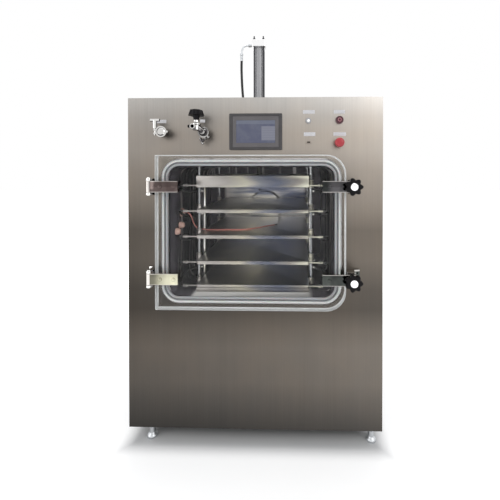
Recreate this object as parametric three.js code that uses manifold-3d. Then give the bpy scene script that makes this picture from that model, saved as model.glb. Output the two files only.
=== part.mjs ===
// A floor-standing pilot freeze dryer: a stainless cabinet with a shelf chamber behind a clear swing door,
// a stack of oil-heated shelves that a hydraulic ram presses down, and the refrigeration below and behind.
//
// Millimetres. The model is drawn as three.js draws it, X to the right, Y up and Z towards the viewer, with
// the front face of the cabinet at z = 0 and its lower edge at y = 0. The root group then stands it Z up.
import * as THREE from "three";
import { mergeVertices } from "three/addons/utils/BufferGeometryUtils.js";
import Module from "manifold-3d";

const wasm = await Module();
wasm.setup();

// ---------------------------------------------------------------- driving dimensions
const FIT = 0.3; // gap between pieces that seat on each other
const RUNNING = 1; // gap round a piece that slides or turns

const CABINET_WIDTH = 1080;
const CABINET_DEPTH = 1050;
const CABINET_HEIGHT = 1410;
const FOOT_HEIGHT = 80;
const SHEET = 2; // thickness of every cabinet panel
const HEM = 22; // folded edge of a panel
const TUBE = 40; // square tube of the frame
const FOOT_INSETS = { left: 78, right: 34, front: 50 }; // from the cabinet's edges to a foot's axis
const FOOT_STEM = 8;

const CHAMBER_X = -12;
const CHAMBER_Y = 847; // height of the chamber's axis
const MOUTH = { width: 688, height: 540, radius: 45 };
const CHAMBER_DEPTH = 690;
const CHAMBER_WALL = 5;
const CHAMBER_RIB = 25;
const FLANGE = { width: 32, proud: 15 };
const GASKET = { inset: 2, width: 24, seat: 8, lip: 5 };
const VAPOUR_PORT = { y: 873, radius: 104 }; // round opening in the chamber's back wall
const BAFFLE = { radius: 97, thickness: 5, standoff: 30, tab: 16, bolts: 3, firstAngle: -0.18 };

const DOOR = { sideLap: 44, endLap: 46, thickness: 38, radius: 80 }; // laps: past the mouth's edges
const ARM = { height: 46, thickness: 12, offset: 187, hingeReach: 98, clampReach: 97 };
const HINGE = { beyond: 21, barrel: 10, pin: 4.7, ear: 10 }; // beyond: from the door's edge to the axis
const CLAMP = { beyond: 22, overhang: 20, screw: 6 };
const CLAMP_BRACKET = { reach: 50, height: 54, foot: 60, head: 34 };
const KNOB = { radius: 35, lobes: 7, lobeDepth: 9, thickness: 22, hub: 13, cap: 15 };

const SHELF = { width: 486, depth: 594, thickness: 15, front: 37 };
const SHELF_PITCH = 111;
const LOWEST_PITCH = 102; // from the fixed bottom shelf to the first hanging one
const BOTTOM_SHELF_RISE = 23; // its middle above the chamber's floor
const PRESS_HEIGHT = 49.5; // heated plate and the stiff box on it
const EAR = { reach: 26, depth: 40, sleeve: 12, sleeveHeight: 28 };
const GUIDE = { radius: 7, offset: 13, inset: 92 };
const OIL_STUB = { radius: 4, length: 60, inset: 12 };
const OIL_PIPE = { radius: 8, gap: 5, depth: 218, nozzle: 14 };
const OIL_HOSE = 6;

const RAM = { rod: 12.5, bore: 20, tube: 25 };
const CYLINDER = { block: 80, rise: 30, baseHeight: 36, tube: 575, capHeight: 35 }; // rise: off the chamber
const TIE_ROD = { offset: 24, radius: 3.5, standout: 21 };

const SCREEN = { x: 6, y: 1264.5, width: 223, height: 153, thickness: 8, glassWidth: 164, glassHeight: 95 };
const START_BUTTON = { x: 227.5, y: 1310, collar: 11.5, cap: 7.5, hole: 8 };
const POWER_BUTTON = { x: 357.5, y: 1312.5, collar: 16, cap: 10, hole: 11 };
const STOP_BUTTON = { x: 355, y: 1216, collar: 15, cap: 19.5, hole: 11 };
const START_COLLAR = 4; // how far each collar stands out
const POWER_COLLAR = 8;
const STOP_COLLAR = 9;
const USB = { x: 229, y: 1220, width: 21, height: 11 };
const SAMPLE_PORT = { x: -380, y: 1260 };
const VENT_PORT = { x: -205, y: 1257 };
const FERRULE = { pipe: 9, flange: 17, clamp: 23, seat: 30 };

// ---------------------------------------------------------------- sizes that follow from them
const CHAMBER_FLOOR = CHAMBER_Y - MOUTH.height / 2;
const CHAMBER_ROOF = CHAMBER_Y + MOUTH.height / 2;
const CHAMBER_SEAT = CHAMBER_FLOOR - CHAMBER_WALL - CHAMBER_RIB;
const BOTTOM_SHELF_Y = CHAMBER_FLOOR + BOTTOM_SHELF_RISE;
const CYLINDER_BASE = CHAMBER_ROOF + CHAMBER_WALL + CYLINDER.rise;
const CYLINDER_CAP = CYLINDER_BASE + CYLINDER.baseHeight + CYLINDER.tube;
const DOOR_WIDTH = MOUTH.width + 2 * DOOR.sideLap;
const DOOR_HEIGHT = MOUTH.height + 2 * DOOR.endLap;
const DOOR_LEFT = CHAMBER_X - DOOR_WIDTH / 2;
const DOOR_RIGHT = CHAMBER_X + DOOR_WIDTH / 2;
const HINGE_X = DOOR_LEFT - HINGE.beyond;
const HINGE_ARM_TIP = DOOR_LEFT + ARM.hingeReach;
const CLAMP_X = DOOR_RIGHT + CLAMP.beyond;
const CLAMP_TIP = DOOR_RIGHT - ARM.clampReach;
const DOOR_BACK = FLANGE.proud + GASKET.lip + FIT;
const DOOR_FRONT = DOOR_BACK + DOOR.thickness;
const ARM_BACK = DOOR_FRONT + FIT;
const ARM_FRONT = ARM_BACK + ARM.thickness;
const HINGE_Z = (ARM_BACK + ARM_FRONT) / 2;
const FRAME_HALF = CABINET_WIDTH / 2 - SHEET - FIT;
const FRAME_FRONT = -(SHEET + FIT);
const FRAME_BACK = -(CABINET_DEPTH - SHEET - FIT);
const FRAME_TOP = CABINET_HEIGHT - SHEET - FIT;
const SHELF_LEVELS = [0, 1, 2].map((i) => BOTTOM_SHELF_Y + LOWEST_PITCH + i * SHELF_PITCH);
const PRESS_Y = SHELF_LEVELS[2] + SHELF_PITCH;
const RAM_Z = -(SHELF.front + SHELF.depth / 2);
const GUIDE_X = SHELF.width / 2 + GUIDE.offset;
const GUIDE_Z = [-(SHELF.front + GUIDE.inset), -(SHELF.front + SHELF.depth - GUIDE.inset)];

// ---------------------------------------------------------------- finishes
const finish = (color, roughness, metalness) =>
  new THREE.MeshStandardMaterial({ color, roughness, metalness });
const brushed = finish(0xb4aea6, 0.38, 1);
const polished = finish(0xd8d6d0, 0.12, 1);
const satin = finish(0xc4c2be, 0.3, 1);
const zinc = finish(0xa9adb0, 0.45, 1);
const anodised = finish(0xc9cdd0, 0.35, 1);
const blackPlastic = finish(0x17181a, 0.45, 0);
const darkPlastic = finish(0x5d5f64, 0.5, 0);
const redPlastic = finish(0xc4202b, 0.35, 0);
const silicone = finish(0xdfe3e6, 0.5, 0);
const acrylic = new THREE.MeshStandardMaterial({
  color: 0xeaf1f2, roughness: 0.05, transparent: true, opacity: 0.3,
});
const glass = finish(0x3d4f7d, 0.1, 0);
const blackRubber = finish(0x141414, 0.7, 0);
const pinkRubber = finish(0xc9726a, 0.6, 0);
const paintedBlack = finish(0x1c1d1f, 0.5, 0.2);
const aluminium = finish(0xbfc3c6, 0.4, 1);
const whitePaint = finish(0xdedede, 0.5, 0);

// ---------------------------------------------------------------- joining and cutting
// A closed three.js geometry as a solid that can be joined and cut.
function solid(geometry) {
  const bare = geometry.index ? geometry.toNonIndexed() : geometry.clone();
  bare.deleteAttribute("normal");
  bare.deleteAttribute("uv");
  const merged = mergeVertices(bare, 1e-3);
  return new wasm.Manifold(
    new wasm.Mesh({
      numProp: 3,
      vertProperties: merged.attributes.position.array,
      triVerts: new Uint32Array(merged.index.array),
    }),
  );
}

function geometryOf(shape) {
  const { numProp, vertProperties, triVerts } = shape.asOriginal().getMesh();
  const positions = new Float32Array((vertProperties.length / numProp) * 3);
  for (let i = 0; i < positions.length / 3; i++) {
    positions.set(vertProperties.subarray(i * numProp, i * numProp + 3), i * 3);
  }
  const geometry = new THREE.BufferGeometry();
  geometry.setAttribute("position", new THREE.BufferAttribute(positions, 3));
  geometry.setIndex(new THREE.BufferAttribute(triVerts, 1));
  geometry.computeVertexNormals();
  return geometry;
}

const join = (...pieces) => pieces.flat().reduce((all, piece) => all.add(piece));
const cut = (body, ...tools) => tools.flat().reduce((left, tool) => left.subtract(tool), body);

// ---------------------------------------------------------------- basic forms
// A box between two corners.
function block(x0, x1, y0, y1, z0, z1) {
  const box = new THREE.BoxGeometry(x1 - x0, y1 - y0, z1 - z0);
  return solid(box.translate((x0 + x1) / 2, (y0 + y1) / 2, (z0 + z1) / 2));
}

// An outline in X and Y given thickness along Z; a quarter circle gets twice curveSegments sides.
function slab(shape, z0, z1, curveSegments = 2) {
  const form = new THREE.ExtrudeGeometry(shape, { depth: z1 - z0, bevelEnabled: false, curveSegments });
  return solid(form.translate(0, 0, z0));
}

// The same with its front and back edges rounded or chamfered by bevel.
function bevelledSlab(shape, z0, z1, bevel, curveSegments = 2, bevelSegments = 1) {
  const form = new THREE.ExtrudeGeometry(shape, {
    depth: z1 - z0 - 2 * bevel, bevelEnabled: true, bevelThickness: bevel,
    bevelSize: bevel, bevelOffset: -bevel, bevelSegments, curveSegments,
  });
  return solid(form.translate(0, 0, z0 + bevel));
}

// An outline in X and Z, as seen from above, given height along Y.
function plan(shape, y0, y1, curveSegments = 2) {
  const form = new THREE.ExtrudeGeometry(shape, { depth: y1 - y0, bevelEnabled: false, curveSegments });
  return solid(form.rotateX(Math.PI / 2).translate(0, y1, 0));
}

// An outline in depth and Y, as seen from the left, given width along X.
function profile(shape, x0, x1, curveSegments = 2) {
  const form = new THREE.ExtrudeGeometry(shape, { depth: x1 - x0, bevelEnabled: false, curveSegments });
  return solid(form.rotateY(Math.PI / 2).translate(x0, 0, 0));
}

// A round bar along one axis, from a to b; the other two numbers place its centre.
function bar(axis, radius, a, b, u, v, sides = 12) {
  const form = new THREE.CylinderGeometry(radius, radius, b - a, sides);
  if (axis === "x") form.rotateZ(Math.PI / 2).translate((a + b) / 2, u, v);
  if (axis === "y") form.translate(u, (a + b) / 2, v);
  if (axis === "z") form.rotateX(Math.PI / 2).translate(u, v, (a + b) / 2);
  return solid(form);
}

// A round hole's tool: the flats of its sides, not its corners, lie at the radius.
const drill = (axis, radius, a, b, u, v, sides = 12) =>
  bar(axis, radius / Math.cos(Math.PI / sides), a, b, u, v, sides);

// A turned piece: [radius, height] pairs from the foot of its axis to the top, revolved about Y.
function turned(pairs, sides = 16) {
  return solid(new THREE.LatheGeometry(pairs.map(([r, h]) => new THREE.Vector2(r, h)), sides));
}

// The same, turned to point out of the front of the cabinet.
function turnedOut(pairs, sides = 16) {
  const form = new THREE.LatheGeometry(pairs.map(([r, h]) => new THREE.Vector2(r, h)), sides);
  return solid(form.rotateX(Math.PI / 2));
}

// A round tube or bar bent along a smooth line.
function bent(points, radius, steps, sides = 8) {
  const section = new THREE.Shape();
  for (let i = 0; i < sides; i++) {
    const angle = (2 * Math.PI * i) / sides;
    section[i ? "lineTo" : "moveTo"](radius * Math.cos(angle), radius * Math.sin(angle));
  }
  section.closePath();
  const line = new THREE.CatmullRomCurve3(points.map((p) => new THREE.Vector3(...p)));
  return solid(new THREE.ExtrudeGeometry(section, { extrudePath: line, steps, bevelEnabled: false }));
}

// A rectangle centred at (x, y) whose corners have the four radii, from the lower left round to the right.
function cornered(width, height, [ll, lr, ur, ul], x = 0, y = 0) {
  const [x0, x1, y0, y1] = [x - width / 2, x + width / 2, y - height / 2, y + height / 2];
  const shape = new THREE.Shape();
  shape.moveTo(x0 + ll, y0);
  shape.lineTo(x1 - lr, y0);
  if (lr) shape.absarc(x1 - lr, y0 + lr, lr, -Math.PI / 2, 0);
  shape.lineTo(x1, y1 - ur);
  if (ur) shape.absarc(x1 - ur, y1 - ur, ur, 0, Math.PI / 2);
  shape.lineTo(x0 + ul, y1);
  if (ul) shape.absarc(x0 + ul, y1 - ul, ul, Math.PI / 2, Math.PI);
  shape.lineTo(x0, y0 + ll);
  if (ll) shape.absarc(x0 + ll, y0 + ll, ll, Math.PI, 1.5 * Math.PI);
  return shape;
}
const rounded = (width, height, radius, x = 0, y = 0) =>
  cornered(width, height, [radius, radius, radius, radius], x, y);

// The outline of the chamber's mouth, grown outwards all round.
const mouthOutline = (grow) =>
  rounded(MOUTH.width + 2 * grow, MOUTH.height + 2 * grow, MOUTH.radius + grow, CHAMBER_X, CHAMBER_Y);

function hexagon(acrossFlats) {
  const corner = acrossFlats / Math.sqrt(3);
  const shape = new THREE.Shape();
  for (let i = 0; i < 6; i++) {
    const angle = (i * Math.PI) / 3;
    shape[i ? "lineTo" : "moveTo"](corner * Math.cos(angle), corner * Math.sin(angle));
  }
  return shape.closePath();
}

// ---------------------------------------------------------------- the tree of groups
const root = new THREE.Group();
const group = (name, parent = root, at = [0, 0, 0]) => {
  const made = new THREE.Group();
  made.name = name;
  made.position.set(...at);
  parent.add(made);
  return made;
};

function piece(name, parent, shape, material, at = [0, 0, 0]) {
  const mesh = new THREE.Mesh(geometryOf(shape), material);
  mesh.name = name;
  mesh.position.set(...at);
  parent.add(mesh);
  return mesh;
}

// ---------------------------------------------------------------- cabinet
const cabinet = group("cabinet");
const feet = [
  [-CABINET_WIDTH / 2 + FOOT_INSETS.left, -FOOT_INSETS.front],
  [CABINET_WIDTH / 2 - FOOT_INSETS.right, -FOOT_INSETS.front],
  [-CABINET_WIDTH / 2 + FOOT_INSETS.left, -(CABINET_DEPTH - FOOT_INSETS.front)],
  [CABINET_WIDTH / 2 - FOOT_INSETS.right, -(CABINET_DEPTH - FOOT_INSETS.front)],
];
const FOOT_PLATE = 8;
const FLOOR_PLATE = 3;

function weldedFrame() {
  const seat = CHAMBER_SEAT - FIT;
  const middle = CHAMBER_X;
  const bars = [];
  for (const side of [-1, 1]) {
    const outer = side * FRAME_HALF;
    const inner = side * (FRAME_HALF - TUBE);
    const [x0, x1] = [Math.min(outer, inner), Math.max(outer, inner)];
    bars.push(block(x0, x1, 0, FRAME_TOP, FRAME_FRONT - TUBE, FRAME_FRONT));
    bars.push(block(x0, x1, 0, FRAME_TOP, FRAME_BACK, FRAME_BACK + TUBE));
    for (const y of [0, seat - TUBE, FRAME_TOP - TUBE]) {
      bars.push(block(x0, x1, y, y + TUBE, FRAME_BACK, FRAME_FRONT));
    }
  }
  for (const y of [0, seat - TUBE, FRAME_TOP - TUBE]) {
    bars.push(block(-FRAME_HALF, FRAME_HALF, y, y + TUBE, FRAME_FRONT - TUBE, FRAME_FRONT));
    bars.push(block(-FRAME_HALF, FRAME_HALF, y, y + TUBE, FRAME_BACK, FRAME_BACK + TUBE));
  }
  for (const side of [-1, 1]) {
    const x = middle + side * MOUTH.width * 0.36;
    bars.push(block(x - TUBE / 2, x + TUBE / 2, seat - TUBE, seat, FRAME_BACK, FRAME_FRONT));
  }
  bars.push(block(-FRAME_HALF, FRAME_HALF, TUBE - 1, TUBE + FLOOR_PLATE, FRAME_BACK, FRAME_FRONT));
  const bores = [];
  for (const [x, z] of feet) {
    const reach = FOOT_INSETS.front + FOOT_STEM * 3;
    const toSide = Math.sign(x) * FRAME_HALF;
    const inward = x - Math.sign(x) * FOOT_STEM * 3;
    const front = z > -CABINET_DEPTH / 2;
    const edge = front ? FRAME_FRONT : FRAME_BACK;
    const far = front ? -reach : -(CABINET_DEPTH - reach);
    bars.push(block(Math.min(toSide, inward), Math.max(toSide, inward), 0, FOOT_PLATE,
      Math.min(edge, far), Math.max(edge, far)));
    bores.push(drill("y", FOOT_STEM + FIT, -1, TUBE - 2, x, z, 8));
  }
  return cut(join(bars), bores);
}
piece("welded_frame", cabinet, weldedFrame(), satin);

function levellingFoot() {
  const pad = turned([
    [0, 0], [20, 0], [22, 3], [22, 9], [17, 16], [12, 20], [12, 46], [0, 46],
  ], 10);
  const nut = plan(hexagon(27), 52, FOOT_HEIGHT - FIT, 1);
  const top = FOOT_HEIGHT + 26;
  const stem = turned([
    [0, 40], [FOOT_STEM, 40], [FOOT_STEM, top - 2], [FOOT_STEM - 2, top], [0, top],
  ], 8);
  return join(pad, nut, stem);
}
feet.forEach(([x, z], i) => {
  piece(`levelling_foot_${i + 1}`, cabinet, levellingFoot(), zinc, [x, -FOOT_HEIGHT, z]);
});

// A folded pan: a flat sheet with its side and top edges turned back.
function panWithHems() {
  const half = CABINET_WIDTH / 2;
  return join(
    block(-half, half, 0, CABINET_HEIGHT, -SHEET, 0),
    block(-half, -half + SHEET, 0, CABINET_HEIGHT, -HEM, 0),
    block(half - SHEET, half, 0, CABINET_HEIGHT, -HEM, 0),
    block(-half, half, CABINET_HEIGHT - SHEET, CABINET_HEIGHT, -HEM, 0),
  );
}

// The front pan with its openings, and with the collars and the socket that are clamped in it for good.
function frontPanel() {
  const through = (shape, segments) => slab(shape, -HEM - 1, 1, segments);
  const pan = cut(
    panWithHems(),
    through(mouthOutline(CHAMBER_WALL + FIT)),
    through(rounded(SCREEN.width - 30, SCREEN.height - 16, 3, SCREEN.x, SCREEN.y), 1),
    [START_BUTTON, POWER_BUTTON, STOP_BUTTON].map((b) => drill("z", b.hole + FIT, -9, 1, b.x, b.y)),
    through(rounded(USB.width - 4, USB.height - 3, 1, USB.x, USB.y), 1),
    [SAMPLE_PORT, VENT_PORT].map((p) => drill("z", FERRULE.pipe + FIT, -9, 1, p.x, p.y)),
  );
  return join(
    pan,
    buttonCollar(START_BUTTON, START_COLLAR).translate([START_BUTTON.x, START_BUTTON.y, 0]),
    buttonCollar(POWER_BUTTON, POWER_COLLAR).translate([POWER_BUTTON.x, POWER_BUTTON.y, 0]),
    buttonCollar(STOP_BUTTON, STOP_COLLAR).translate([STOP_BUTTON.x, STOP_BUTTON.y, 0]),
    usbSocket().translate([USB.x, USB.y, 0]),
  );
}
piece("front_panel", cabinet, frontPanel(), brushed);

// One field of louvres in a sheet whose outer face is z = 0: slots, and the blades pressed in behind them.
const LOUVRE = { length: 170, slot: 11, pitch: 38, depth: 12, blade: 1.6 };
function louvreField(x, y, rows) {
  const slots = [];
  const blades = [];
  for (let row = 0; row < rows; row++) {
    const top = y + row * LOUVRE.pitch + LOUVRE.slot;
    slots.push(block(x - LOUVRE.length / 2, x + LOUVRE.length / 2, top - LOUVRE.slot, top, -SHEET - 1, 1));
    const blade = new THREE.Shape();
    blade.moveTo(SHEET / 2, top + LOUVRE.blade);
    blade.lineTo(SHEET / 2, top);
    blade.lineTo(LOUVRE.depth, top - LOUVRE.slot - LOUVRE.blade);
    blade.lineTo(LOUVRE.depth + LOUVRE.blade, top - LOUVRE.slot);
    blades.push(profile(blade, x - LOUVRE.length / 2 - 3, x + LOUVRE.length / 2 + 3));
  }
  return { slots, blades };
}

const PANEL_DEPTH = CABINET_DEPTH - 2 * (HEM + FIT);
function sidePanel() {
  const sheet = block(-PANEL_DEPTH / 2, PANEL_DEPTH / 2, 0, CABINET_HEIGHT - HEM - FIT, -SHEET, 0);
  const fields = [-1, 1].map((side) => louvreField(side * PANEL_DEPTH * 0.18, 150, 5));
  return join(cut(sheet, fields.flatMap((f) => f.slots)), fields.flatMap((f) => f.blades));
}
for (const [name, side] of [["left_panel", -1], ["right_panel", 1]]) {
  const middle = [(side * CABINET_WIDTH) / 2, 0, -CABINET_DEPTH / 2];
  const panel = piece(name, cabinet, sidePanel(), brushed, middle);
  panel.rotation.y = (side * Math.PI) / 2;
}

const VACUUM_PORT = { x: 250, y: 700, radius: 25 };
const VACUUM_BORE = 26; // how deep the open end of the vacuum pipe is drawn
const POWER_INLET = { x: -400, y: 200, radius: 20 };
function rearPanel() {
  const fields = [-1, 1].map((side) => louvreField(side * CABINET_WIDTH * 0.22, 150, 5));
  const pan = cut(
    panWithHems(),
    fields.flatMap((f) => f.slots),
    [VACUUM_PORT, POWER_INLET].map((p) => drill("z", p.radius + FIT, -9, 1, -p.x, p.y)),
  );
  return join(pan, fields.flatMap((f) => f.blades));
}
const rear = piece("rear_panel", cabinet, rearPanel(), brushed, [0, 0, -CABINET_DEPTH]);
rear.rotation.y = Math.PI;

// The pressure hose leans towards the cylinder on its way from the cap down to its hole in the roof.
const fittingEnd = CHAMBER_X - CYLINDER.block / 2 - 18;
const hoseTopY = CYLINDER_CAP + CYLINDER.capHeight / 2;
const HOSE_TOP = { x: fittingEnd - 36.5, y: hoseTopY - 76 };
const HOSE_LEAN = 0.0425;
const hoseRun = HOSE_TOP.y - CABINET_HEIGHT;
const HOSE_GROMMET = { x: HOSE_TOP.x + HOSE_LEAN * hoseRun, z: RAM_Z, radius: 7 };
function topPanel() {
  const half = CABINET_WIDTH / 2;
  const [z0, z1] = [-(CABINET_DEPTH - HEM - FIT), -(HEM + FIT)];
  const hole = CYLINDER.block / 2 + RUNNING;
  return cut(
    join(
      block(-half, half, CABINET_HEIGHT - SHEET, CABINET_HEIGHT, z0, z1),
      block(-half, -half + SHEET, CABINET_HEIGHT - HEM, CABINET_HEIGHT, z0, z1),
      block(half - SHEET, half, CABINET_HEIGHT - HEM, CABINET_HEIGHT, z0, z1),
    ),
    block(
      CHAMBER_X - hole, CHAMBER_X + hole, CABINET_HEIGHT - 9, CABINET_HEIGHT + 9, RAM_Z - hole, RAM_Z + hole,
    ),
    drill("y", HOSE_GROMMET.radius, CABINET_HEIGHT - 9, CABINET_HEIGHT + 9, HOSE_GROMMET.x, HOSE_GROMMET.z),
  );
}
piece("top_panel", cabinet, topPanel(), brushed);

// ---------------------------------------------------------------- chamber
const chamber = group("chamber");
const NECK = { wall: 6, end: -(CHAMBER_DEPTH + 55), flange: 24, flangeThickness: 12 };
const BOSS_TOP = CYLINDER_BASE - FIT;
const GLAND = { x: CHAMBER_X - MOUTH.width / 2, radius: 9, length: 9, y: 906, depth: 142 };

function chamberShell() {
  const back = -(CHAMBER_DEPTH + CHAMBER_WALL);
  const ribs = [0.15, 0.5, 0.85].map((share) => {
    const z = -CHAMBER_DEPTH * share;
    return slab(mouthOutline(CHAMBER_WALL + CHAMBER_RIB), z - 6, z + 6, 1);
  });
  const flange = slab(mouthOutline(FLANGE.width), FIT, FLANGE.proud);
  const groove = cut(
    slab(mouthOutline(GASKET.inset + GASKET.width + FIT), FLANGE.proud - GASKET.seat, FLANGE.proud + 1),
    slab(mouthOutline(GASKET.inset - FIT), FLANGE.proud - GASKET.seat - 1, FLANGE.proud + 2),
  );
  const [portX, portY] = [CHAMBER_X, VAPOUR_PORT.y];
  const neck = join(
    bar("z", VAPOUR_PORT.radius + NECK.wall, NECK.end, back + 1, portX, portY, 16),
    bar("z", VAPOUR_PORT.radius + NECK.flange, NECK.end, NECK.end + NECK.flangeThickness, portX, portY, 16),
  );
  const boss = bar("y", CYLINDER.block / 2 - 4, CHAMBER_ROOF + 1, BOSS_TOP, CHAMBER_X, RAM_Z, 14);
  const gland = bar("x", GLAND.radius, GLAND.x - 3, GLAND.x + GLAND.length, GLAND.y, -GLAND.depth, 8);
  const shell = cut(
    join(slab(mouthOutline(CHAMBER_WALL), back, FIT + 1), ribs, flange, neck, boss),
    slab(mouthOutline(0), -CHAMBER_DEPTH, FLANGE.proud + 1),
    groove,
    drill("z", VAPOUR_PORT.radius, NECK.end - 1, -CHAMBER_DEPTH + 1, portX, portY, 16),
    drill("y", RAM.rod + RUNNING, CHAMBER_ROOF - 1, BOSS_TOP + 1, CHAMBER_X, RAM_Z, 12),
  );
  return join(shell, gland);
}
piece("chamber_shell", chamber, chamberShell(), polished);

// The round plate that stands in front of the vapour port and spreads the stream.
function vapourBaffle() {
  const { radius, thickness, standoff, tab, bolts, firstAngle } = BAFFLE;
  const wall = -CHAMBER_DEPTH + FIT;
  const face = wall + standoff;
  const seat = VAPOUR_PORT.radius + tab / 2 + 2;
  const parts = [bar("z", radius, face, face + thickness, 0, 0, 28)];
  for (let i = 0; i < bolts; i++) {
    const angle = firstAngle + (2 * Math.PI * i) / bolts;
    const [x, y] = [seat * Math.cos(angle), seat * Math.sin(angle)];
    const front = face + thickness;
    const arm = block(0, seat, -tab / 2, tab / 2, face, front).rotate([0, 0, (angle * 180) / Math.PI]);
    parts.push(arm, bar("z", tab / 2, face, front, x, y, 10));
    parts.push(bar("z", 5, wall, face + 1, x, y, 8), bar("z", 6, front - 1, front + 5, x, y, 6));
  }
  return join(parts).translate([CHAMBER_X, VAPOUR_PORT.y, 0]);
}
piece("vapour_baffle", chamber, vapourBaffle(), polished);

function doorGasket() {
  const { inset, width, seat, lip } = GASKET;
  const ring = (from, to, z0, z1) =>
    cut(slab(mouthOutline(to), z0, z1), slab(mouthOutline(from), z0 - 1, z1 + 1));
  const bed = FLANGE.proud - seat + FIT;
  return join(
    ring(inset, inset + width, bed, FLANGE.proud + 1),
    ring(inset + 2, inset + 8, bed, FLANGE.proud + lip),
    ring(inset + width - 8, inset + width - 2, bed, FLANGE.proud + lip),
  );
}
piece("door_gasket", chamber, doorGasket(), silicone);

// ---------------------------------------------------------------- door, hinges and clamps
const door = group("door");
const DOOR_BEVEL = 3;
const DOOR_EDGE = 4; // the nearly square corners on the hinge side
const doorOutline = () =>
  cornered(DOOR_WIDTH, DOOR_HEIGHT, [DOOR_EDGE, DOOR.radius, DOOR.radius, DOOR_EDGE], CHAMBER_X, CHAMBER_Y);
piece("door_plate", door, bevelledSlab(doorOutline(), DOOR_BACK, DOOR_FRONT, DOOR_BEVEL, 5), acrylic);

const BOLT = { head: 8, height: 5 };
const boltHead = (x, y) =>
  turnedOut([[0, 0], [BOLT.head, 0], [BOLT.head, 2], [BOLT.head - 3, BOLT.height], [0, BOLT.height]], 10)
    .translate([x, y, ARM_FRONT - 1]);

// Arms and brackets are drawn about the middle of their own height.
function hingeArm() {
  const strap = new THREE.Shape();
  strap.moveTo(HINGE_X, ARM_BACK);
  strap.lineTo(HINGE_ARM_TIP, ARM_BACK);
  strap.lineTo(HINGE_ARM_TIP, ARM_FRONT - 3);
  strap.lineTo(HINGE_ARM_TIP - 3, ARM_FRONT);
  strap.lineTo(HINGE_X, ARM_FRONT);
  const body = join(
    plan(strap, -ARM.height / 2, ARM.height / 2),
    bar("y", HINGE.barrel, -ARM.height / 2, ARM.height / 2, HINGE_X, HINGE_Z, 16),
  );
  return join(
    cut(body, drill("y", HINGE.pin + FIT, -ARM.height, ARM.height, HINGE_X, HINGE_Z, 12)),
    boltHead(HINGE_ARM_TIP - 17, 0),
    boltHead(HINGE_ARM_TIP - 72, 0),
  );
}

// The bracket on the cabinet with its pin, which is pressed into the two ears.
function hingeBracket() {
  const inner = ARM.height / 2 + RUNNING;
  const outer = inner + HINGE.ear;
  const ear = new THREE.Shape();
  ear.moveTo(HINGE_X + HINGE.barrel, FIT);
  ear.lineTo(HINGE_X + HINGE.barrel, HINGE_Z);
  ear.absarc(HINGE_X, HINGE_Z, HINGE.barrel, 0, Math.PI);
  ear.lineTo(HINGE_X - HINGE.barrel, FIT);
  const base = block(HINGE_X - HINGE.barrel - 16, HINGE_X + HINGE.barrel, -outer, outer, FIT, 7);
  const web = block(
    HINGE_X - HINGE.barrel, HINGE_X + HINGE.barrel, -outer, outer, FIT, HINGE_Z - HINGE.barrel - RUNNING,
  );
  const pin = join(
    bar("y", HINGE.pin, -outer - 2, outer + 1, HINGE_X, HINGE_Z, 12),
    bar("y", HINGE.barrel - 2.5, outer - 1, outer + 4, HINGE_X, HINGE_Z, 12),
  );
  return join(base, web, plan(ear, inner, outer), plan(ear, -outer, -inner), pin);
}

const CLAMP_BORE = CLAMP.screw + FIT * 2; // the thread in the arm, drawn plain
function clampArm() {
  const strap = new THREE.Shape();
  const end = CLAMP_X + CLAMP.overhang;
  strap.moveTo(CLAMP_TIP, ARM_BACK);
  strap.lineTo(end, ARM_BACK);
  strap.lineTo(end, ARM_FRONT - 3);
  strap.lineTo(end - 3, ARM_FRONT);
  strap.lineTo(CLAMP_TIP + 3, ARM_FRONT);
  strap.lineTo(CLAMP_TIP, ARM_FRONT - 3);
  return join(
    cut(
      plan(strap, -ARM.height / 2, ARM.height / 2),
      drill("z", CLAMP_BORE, ARM_BACK - 1, ARM_FRONT + 1, CLAMP_X, 0),
    ),
    boltHead(CLAMP_TIP + 28, 0),
  );
}

function clampBracket() {
  const { reach, height, foot, head } = CLAMP_BRACKET;
  const x0 = CLAMP_X - head / 2;
  const side = new THREE.Shape();
  side.moveTo(x0, FIT);
  side.lineTo(x0 + foot, FIT);
  side.lineTo(x0 + foot, FIT + 9);
  side.lineTo(x0 + head + 4, 14);
  side.lineTo(x0 + head, 22);
  side.lineTo(x0 + head, reach - 3);
  side.lineTo(x0 + head - 3, reach);
  side.lineTo(x0 + 3, reach);
  side.lineTo(x0, reach - 3);
  return cut(
    plan(side, -height / 2, height / 2),
    drill("z", CLAMP.screw + FIT, reach - 30, reach + 1, CLAMP_X, 0, 12),
    drill("z", 4, FIT - 1, 15, x0 + foot - 10, height / 4, 8),
    drill("z", 4, FIT - 1, 15, x0 + foot - 10, -height / 4, 8),
  );
}

// A lobed hand knob whose radius swells and shrinks round the rim, with its screw.
function starKnob() {
  const outline = new THREE.Shape();
  const points = KNOB.lobes * 4;
  for (let i = 0; i < points; i++) {
    const angle = (2 * Math.PI * i) / points;
    const radius = KNOB.radius - (KNOB.lobeDepth / 2) * (1 - Math.cos(KNOB.lobes * angle));
    outline[i ? "lineTo" : "moveTo"](radius * Math.cos(angle), radius * Math.sin(angle));
  }
  outline.closePath();
  const grip = KNOB_BASE + 8;
  return join(
    bevelledSlab(outline, grip, grip + KNOB.thickness, 3, 1, 1),
    turnedOut([[0, 0], [KNOB.hub - 1, 0], [KNOB.hub, 1], [KNOB.hub + 2, 12], [0, 12]], 8)
      .translate([0, 0, KNOB_BASE]),
    turnedOut([[0, 0], [KNOB.cap, 0], [KNOB.cap, 2], [KNOB.cap - 2, 3.4], [0, 4]], 12)
      .translate([0, 0, grip + KNOB.thickness - 1]),
    bar("z", CLAMP.screw, CLAMP_BRACKET.reach + 2, KNOB_BASE + 1, 0, 0, 8),
  );
}
const KNOB_BASE = ARM_FRONT + 5;

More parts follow.
